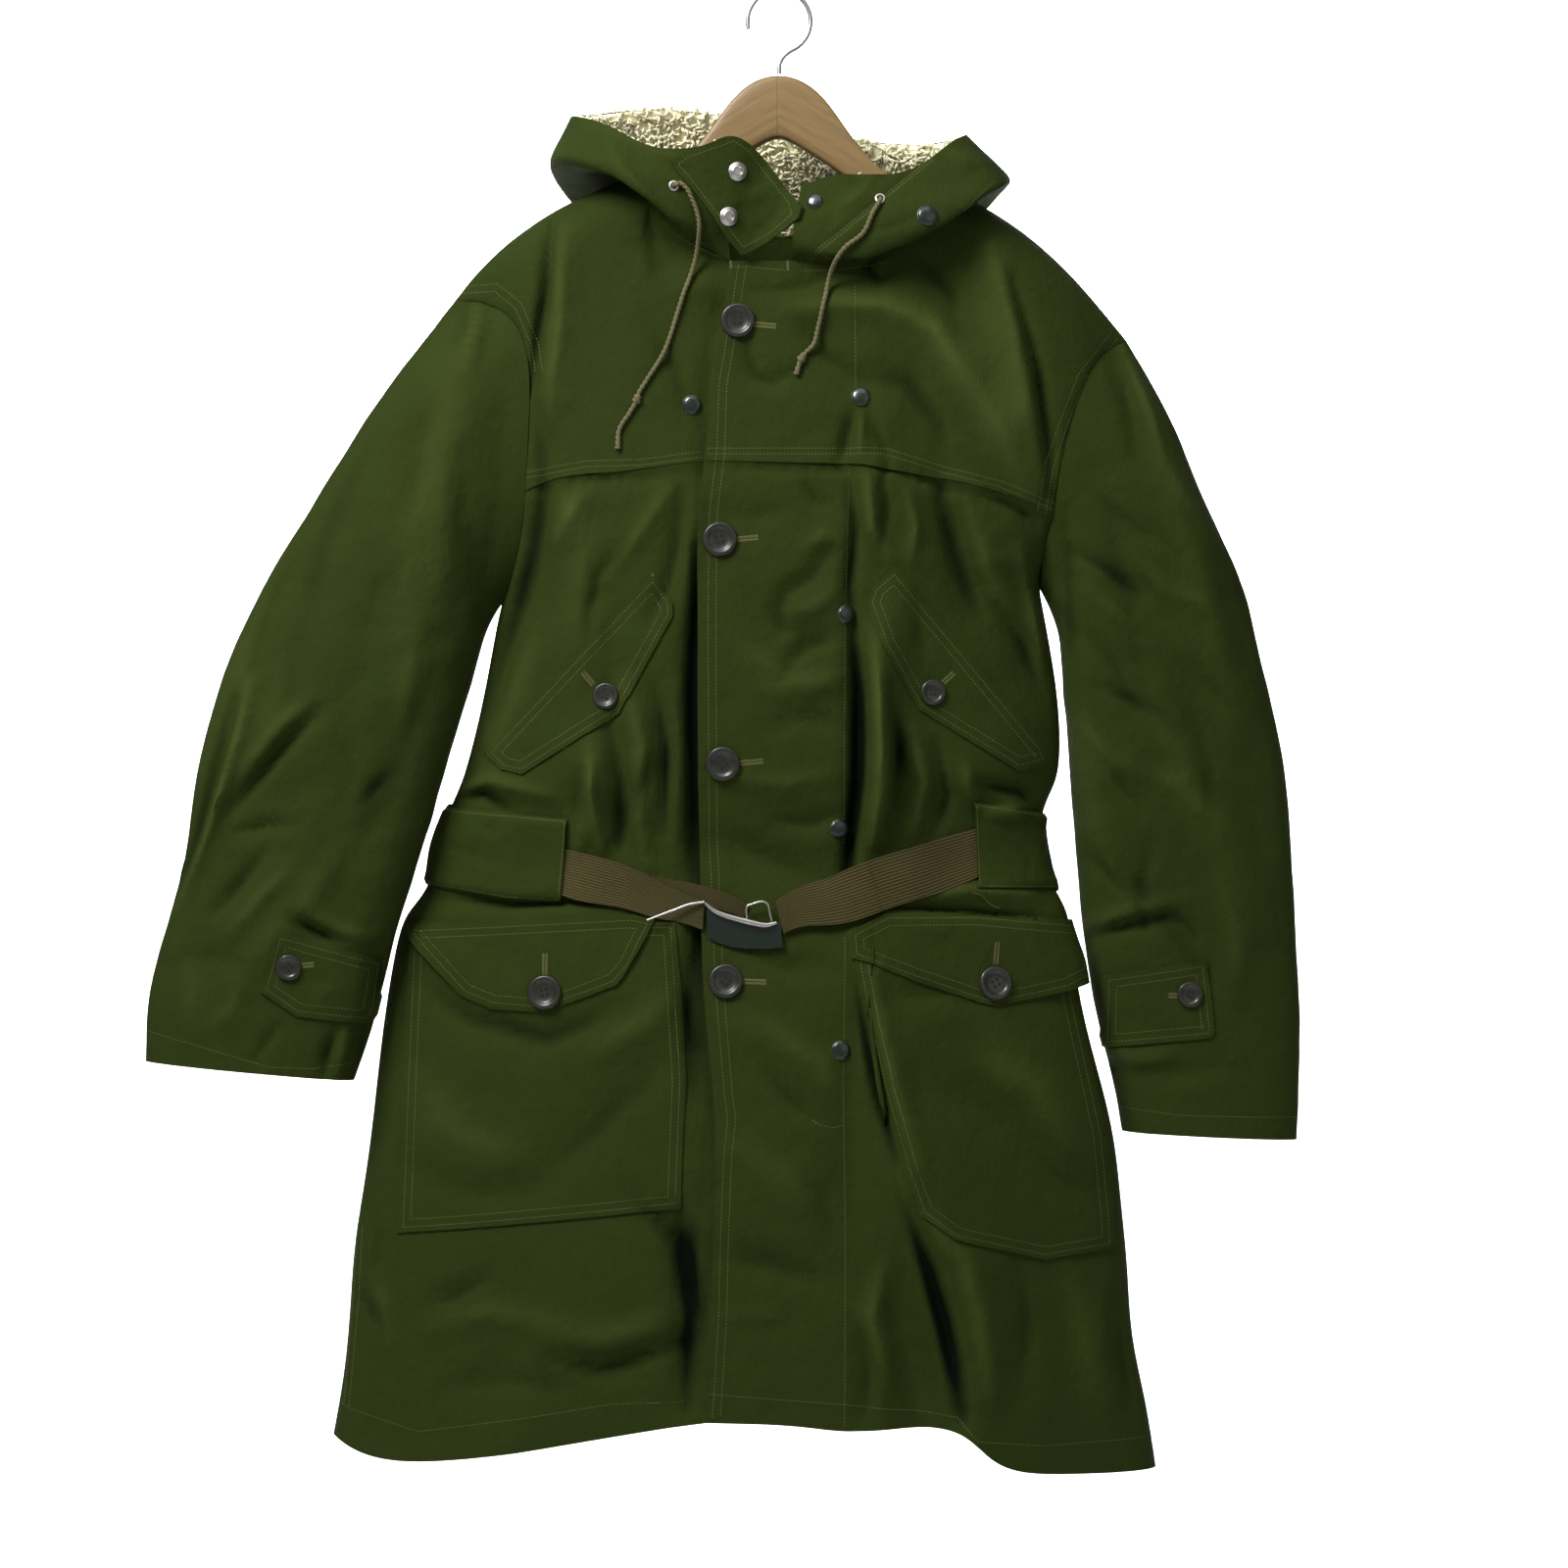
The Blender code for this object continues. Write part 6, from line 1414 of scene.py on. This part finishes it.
Trim = namedtuple("Trim", "name node surface x drop radius")
BUTTONS = [
    Trim("top_button", "front_button_1", "yoke_left", -33.6, 276.8, 14),
    Trim("second_button", "front_button_2", "front_left", -48, 455, 14),
    Trim("third_button", "front_button_3", "front_left", -45.6, 637, 14),
    Trim("fourth_button", "front_button_4", "front_left", -43.2, 813.6, 14),
    Trim("right_chest_button", "chest_button_right", "chest_flap_right", -141, 582, 10.5),
    Trim("left_chest_button", "chest_button_left", "chest_flap_left", 124.8, 579, 10.5),
    Trim("right_pocket_button", "pocket_button_right", "pocket_flap_right", -190.4, 823, 14),
    Trim("left_pocket_button", "pocket_button_left", "pocket_flap_left", 176, 816, 14),
    Trim("right_cuff_button", "cuff_button_right", "cuff_tab_right", -397, 802, 10.5),
    Trim("left_cuff_button", "cuff_button_left", "cuff_tab_left", 338.4, 827, 10.5),
]
SNAPS = [
    Trim("fly_snap_1", "front_snap_1", "yoke_left", 66.4, 339, 7.5),
    Trim("fly_snap_2", "front_snap_2", "front_left", 54.4, 516, 7.5),
    Trim("fly_snap_3", "front_snap_3", "front_left", 48.8, 690, 7.5),
    Trim("fly_snap_4", "front_snap_4", "front_left", 50, 869.6, 7.5),
    Trim("yoke_snap", "under_snap", "yoke_right", -71, 345, 7.5),
    Trim("hood_snap_cap", "hood_snap", "hood", 119.6, 195, 8),
    Trim("collar_snap_cap", "collar_stud", "hood", 29, 182, 6.5),
]
SOCKETS = [
    Trim("upper_tab_socket", "tab_socket_1", "throat_tab", -33.6, 157.6, 7.6),
    Trim("lower_tab_socket", "tab_socket_2", "throat_tab", -40.8, 194, 7.6),
]
EYELETS = [
    Trim("right_hood_eyelet", "eyelet_right", "hood", -85, 170, 4.6),
    Trim("left_hood_eyelet", "eyelet_left", "hood", 81.6, 181, 4.8),
]
hole_shade_discs = [[], []]
for trims, profile, material in (
    (BUTTONS, BUTTON_PROFILE, HORN), (SNAPS, SNAP_PROFILE, ENAMEL),
    (SOCKETS, SOCKET_PROFILE, NICKEL), (EYELETS, EYELET_PROFILE, NICKEL),
):
    for number, trim in enumerate(trims):
        place, axes = seat(surfaces[trim.surface], trim.x, trim.drop, trim.radius)
        points, faces = [], []
        line = profile + profile[:1] if profile is EYELET_PROFILE else profile
        lathed(points, faces, line, place, axes, trim.radius)
        piece = mesh_object(trim.name, points, faces, material)
        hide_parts(trim.node)
        if trims is SNAPS:
            bright = [[], []]
            lathed(*bright, SNAP_RIM, place, axes, trim.radius)
            mesh_object(trim.name + "_rim", *bright, BLACKENED)
        if trims is BUTTONS:
            turn = BUTTON_TURN * number
            side = axes[0] * math.cos(turn) + axes[1] * math.sin(turn)
            other = np.cross(axes[2], side)
            for a, b in HOLE_CORNERS:
                spot = place + trim.radius * (HOLE_SPREAD * (a * side + b * other) + HOLE_HEIGHT * axes[2])
                lathed(*hole_shade_discs, HOLE_PROFILE, spot, axes, trim.radius * HOLE_RADIUS, HOLE_SIDES)
mesh_object("button_hole_shade", *hole_shade_discs, hole_shade.material)

# Drawcord of the hood
# A twisted khaki cord that comes out at each eyelet and hangs to a knot and a frayed tip.
CORD, KNOT = 1.75, 3.2
Hang = namedtuple("Hang", "name node line knot")
CORDS = [
    Hang("right_drawcord", "drawcord_right", [
        (-85, 170), (-81, 168), (-77, 170), (-70, 181), (-65, 196), (-66, 217), (-73, 242), (-78, 255),
        (-82, 268), (-94, 303), (-108, 326), (-114, 336), (-116, 342), (-121, 351), (-130, 366), (-131, 381),
    ], (-115, 341)),
    Hang("left_drawcord", "drawcord_left", [
        (81.6, 181), (80, 185), (76, 192), (68, 209), (52, 222), (44, 234), (37, 260), (32, 282), (27, 298),
        (22, 303), (18.4, 308), (16, 314), (14, 321),
    ], (18.4, 308)),
]
CORD_STEP, CORD_SIDES, CORD_TWIST, CORD_LOBE, CORD_LOBES = 0.6, 14, 1.5, 0.22, 2
CORD_GAP, CORD_FEEL, CORD_PITCH, SLACK_ROUNDS = 0.45, 2.6, 3, 30
EYE_DEEP, EYE_OUT = 0.4, 2.6
KNOT_LONG, FRAY_LONG, FRAY_WIDER = 3.2, 14, 0.25
TWINE = speckled(
    "khaki_twine", 0.85, (1400.0, 3.0), ((0.070, 0.063, 0.026, 1), (0.185, 0.168, 0.088, 1)), (0.0004, 0.8),
    Specular_IOR_Level=0.2,
)


def settled(line):
    """A cord's centreline lying on what is behind it, with the slack it really has."""
    behind = ("hood", "yoke_right", "yoke_left", "throat_tab", "front_right", "front_left")
    trees = [surfaces[name] for name in behind]
    count = int(np.linalg.norm(np.diff(np.array(line, float), axis=0), axis=1).sum() / CORD_PITCH) + 1
    flat = smooth_line(line, count)
    depth, feelers = [], (-CORD_FEEL, 0, CORD_FEEL)
    for x, drop in flat:
        near = [seen_from_front(trees, x + dx, drop + dd) for dx in feelers for dd in feelers]
        depth.append(min(hit[0][1] for hit in near if hit is not None) - CORD_GAP - CORD)
    depth = np.array(depth)
    eased = depth.copy()
    for _ in range(SLACK_ROUNDS):
        eased[1:-1] = np.minimum(depth[1:-1], (eased[:-2] + eased[1:-1] * 2 + eased[2:]) / 4)
    path = np.stack([flat[:, 0], eased, -flat[:, 1]], axis=1)
    eye = seen_from_front([surfaces["hood"]], *line[0])
    path[0], path[1] = eye[0] + eye[1] * EYE_DEEP, eye[0] + eye[1] * EYE_OUT
    return path


for cord in CORDS:
    rough = settled(cord.line)
    steps = np.linalg.norm(np.diff(rough, axis=0), axis=1).sum()
    path = smooth_line(rough, int(steps / CORD_STEP))
    from_knot = np.linalg.norm(path[:, [0, 2]] - (cord.knot[0], -cord.knot[1]), axis=1)
    radii = CORD + (KNOT - CORD) * np.exp(-((from_knot / KNOT_LONG) ** 4))
    from_end = np.cumsum(np.linalg.norm(np.diff(path[::-1], axis=0), axis=1))
    fray = np.clip(1 - np.concatenate([[0], from_end]) / FRAY_LONG, 0, 1)[::-1]
    radii *= 1 + FRAY_WIDER * fray
    mesh = tube_mesh(cord.name, path, radii, CORD_SIDES, CORD_TWIST, CORD_LOBES, CORD_LOBE)
    piece = as_object(cord.name, mesh, TWINE)
    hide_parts(cord.node)
    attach(piece, "root")

# Loose thread
# A short end of the casing's stitching that hangs on the left front below the belt.
LOOSE_THREAD = [(158.4, 742), (165.6, 744.8), (172.8, 752), (180, 755.2)]
THREAD_RADIUS, THREAD_COUNT, THREAD_SIDES = 0.3, 14, 6
thread_path = []
for at in smooth_line(LOOSE_THREAD, THREAD_COUNT):
    place, normal = seen_from_front([surfaces["belt_casing_left"], surfaces["front_left"]], *at)
    thread_path.append(place + normal * THREAD_RADIUS)
mesh = tube_mesh("loose_thread", thread_path, THREAD_RADIUS, THREAD_SIDES)
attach(as_object("loose_thread", mesh, thread.material), "root")

# Hanger and hook
# Two shaped wooden arms mitred together at the middle and clear-varnished, with a wire hook.


def wood():
    """Varnished wood whose grain runs down each arm, with a dark line where the arms meet."""
    finish = Finish("varnished_wood", 0.5)
    across, out, up = finish.axes()
    reach = across.math("ABSOLUTE", across, 0.0)
    along = reach * 0.86 - up * 0.5
    beside_grain = reach * 0.5 + up * 0.86
    grain = finish.node("ShaderNodeCombineXYZ", 0, (), X=along * 0.5, Y=out * 4.0, Z=beside_grain * 9.0)
    rings = finish.noise(22.0, 5.0, grain)
    fine = finish.noise(110.0, 3.0, grain)
    tone = finish.blend((rings * 1.6 - 0.3).clamped(), (0.27, 0.175, 0.066, 1), (0.17, 0.100, 0.033, 1))
    tone = finish.blend((fine * 1.2 - 0.45).clamped(), tone, (0.14, 0.080, 0.024, 1))
    joint = (1.0 - reach.math("ABSOLUTE", across + 0.0016, 0.0) * 2600.0).clamped()
    finish.set("Base Color", finish.blend(joint, tone, (0.05, 0.028, 0.010, 1)))
    finish.set("Coat Weight", 0.08)
    finish.bump(fine - joint, 0.0003, 0.5)
    return finish.material


refined("wooden_hanger", "hanger", 2, wood())
HOOK_BEND, HOOK_CENTRE, HOOK_RADIUS, HOOK_SIDES = 26.0, -24.0, 2.0, 18
hook_line = []
for degrees in range(195, -61, -5):
    turn = math.radians(degrees)
    hook_line.append((HOOK_BEND * math.cos(turn), 0.0, HOOK_CENTRE + HOOK_BEND * math.sin(turn)))
hook_line += [(9.2, 0, -48.4), (5.0, 0, -51.6), (2.2, 0, -55.0), (0.6, 0, -58.4), (0, 0, -62), (0, 0, -67.6)]
hook = as_object("wire_hook", tube_mesh("wire_hook", hook_line, HOOK_RADIUS, HOOK_SIDES), NICKEL)
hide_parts("hook")
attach(hook, "root")

# Pile of the hood
# Curly cream fleece on the hood's inside, standing over the rim in uneven locks.
CURLS, CURL_SEED, CLEAR_OF_CLOTH_M, CURL_CLEAR_M = 4200, 14, 0.012, 0.006
CURL_RINGS = (0.45, 0.95, 1.0, 0.9, 0.4)
CURL_SIDES, CURL_REACHES, CURL_THICK = 5, (2.0, 4.2), (0.9, 1.5)
CURL_STARTS, CURL_SPANS, CURL_SLANT, CURL_SUNK = (-0.5, 0.3), (2.2, 3.6), 0.35, 0.6
CURL_TILT, CURL_TIP = 0.3, 4.5


def fleece():
    finish = Finish("cream_fleece", 0.95)
    curled_tone = finish.noise(200.0, 3.0)
    finish.set("Base Color", finish.blend(curled_tone, (0.80, 0.75, 0.47, 1), (0.96, 0.93, 0.72, 1)))
    finish.set("Specular IOR Level", 0.1)
    finish.bump(finish.noise(1100.0, 3.0), 0.0008, 0.5)
    return finish.material


FLEECE = fleece()
refined("fleece_backing", "hood_pile", 0, FLEECE)


def curl(chance, place, out, points, faces):
    """One lock: a short thick arc that stands up from the pile and bends over by chance."""
    lean = np.cross(out, chance.normal(0, 1, 3))
    lean /= np.linalg.norm(lean)
    side = np.cross(out, lean)
    reach, thick = chance.uniform(*CURL_REACHES), chance.uniform(*CURL_THICK)
    start_turn, span = chance.uniform(*CURL_STARTS), chance.uniform(*CURL_SPANS)
    start = len(points)
    for ring, share in enumerate(CURL_RINGS):
        turn = start_turn + span * ring / (len(CURL_RINGS) - 1)
        away = -lean * math.cos(turn) + out * math.sin(turn)
        centre = place + reach * away + side * (ring - 2) * CURL_SLANT + out * CURL_SUNK
        for k in range(CURL_SIDES):
            around = 2 * math.pi * k / CURL_SIDES
            points.append(centre + thick * share * (away * math.cos(around) + side * math.sin(around)))
    faces += [face[:1] + face[:0:-1] for face in ring_faces(len(CURL_RINGS), CURL_SIDES, start)]
    faces.append([start + k for k in range(CURL_SIDES)])
    last = start + (len(CURL_RINGS) - 1) * CURL_SIDES
    faces.append([last + k for k in range(CURL_SIDES)][::-1])


def fleece_curls():
    """Locks over the side of the pile that the hood's cloth doesn't cover."""
    chance = np.random.default_rng(CURL_SEED)
    body = bmesh.new()
    body.from_mesh(nodes["hood_pile"].data)
    bmesh.ops.triangulate(body, faces=body.faces)
    cloth_body = bmesh.new()
    cloth_body.from_mesh(nodes["hood"].data)
    shell = BVHTree.FromBMesh(cloth_body)
    cloth_body.free()
    bare = []
    for face in body.faces:
        if shell.ray_cast(face.calc_center_median(), face.normal, CLEAR_OF_CLOTH_M)[0] is None:
            bare.append(face)
    areas = np.array([f.calc_area() for f in bare])
    points, faces = [], []
    for index in chance.choice(len(bare), CURLS, p=areas / areas.sum()):
        a, b, c = (np.array(v.co) / MM for v in bare[index].verts)
        u, v = chance.uniform(0, 1, 2)
        u, v = (1 - u, 1 - v) if u + v > 1 else (u, v)
        out = np.array(bare[index].normal) + chance.normal(0, CURL_TILT, 3)
        place = a + (b - a) * u + (c - a) * v
        out /= np.linalg.norm(out)
        tip = Vector((place + out * CURL_TIP) * MM)
        if shell.find_nearest(tip)[3] > CURL_CLEAR_M:
            curl(chance, place, out, points, faces)
    body.free()
    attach(as_object("fleece_curls", mesh_of("fleece_curls", points, faces), FLEECE), "root")


fleece_curls()
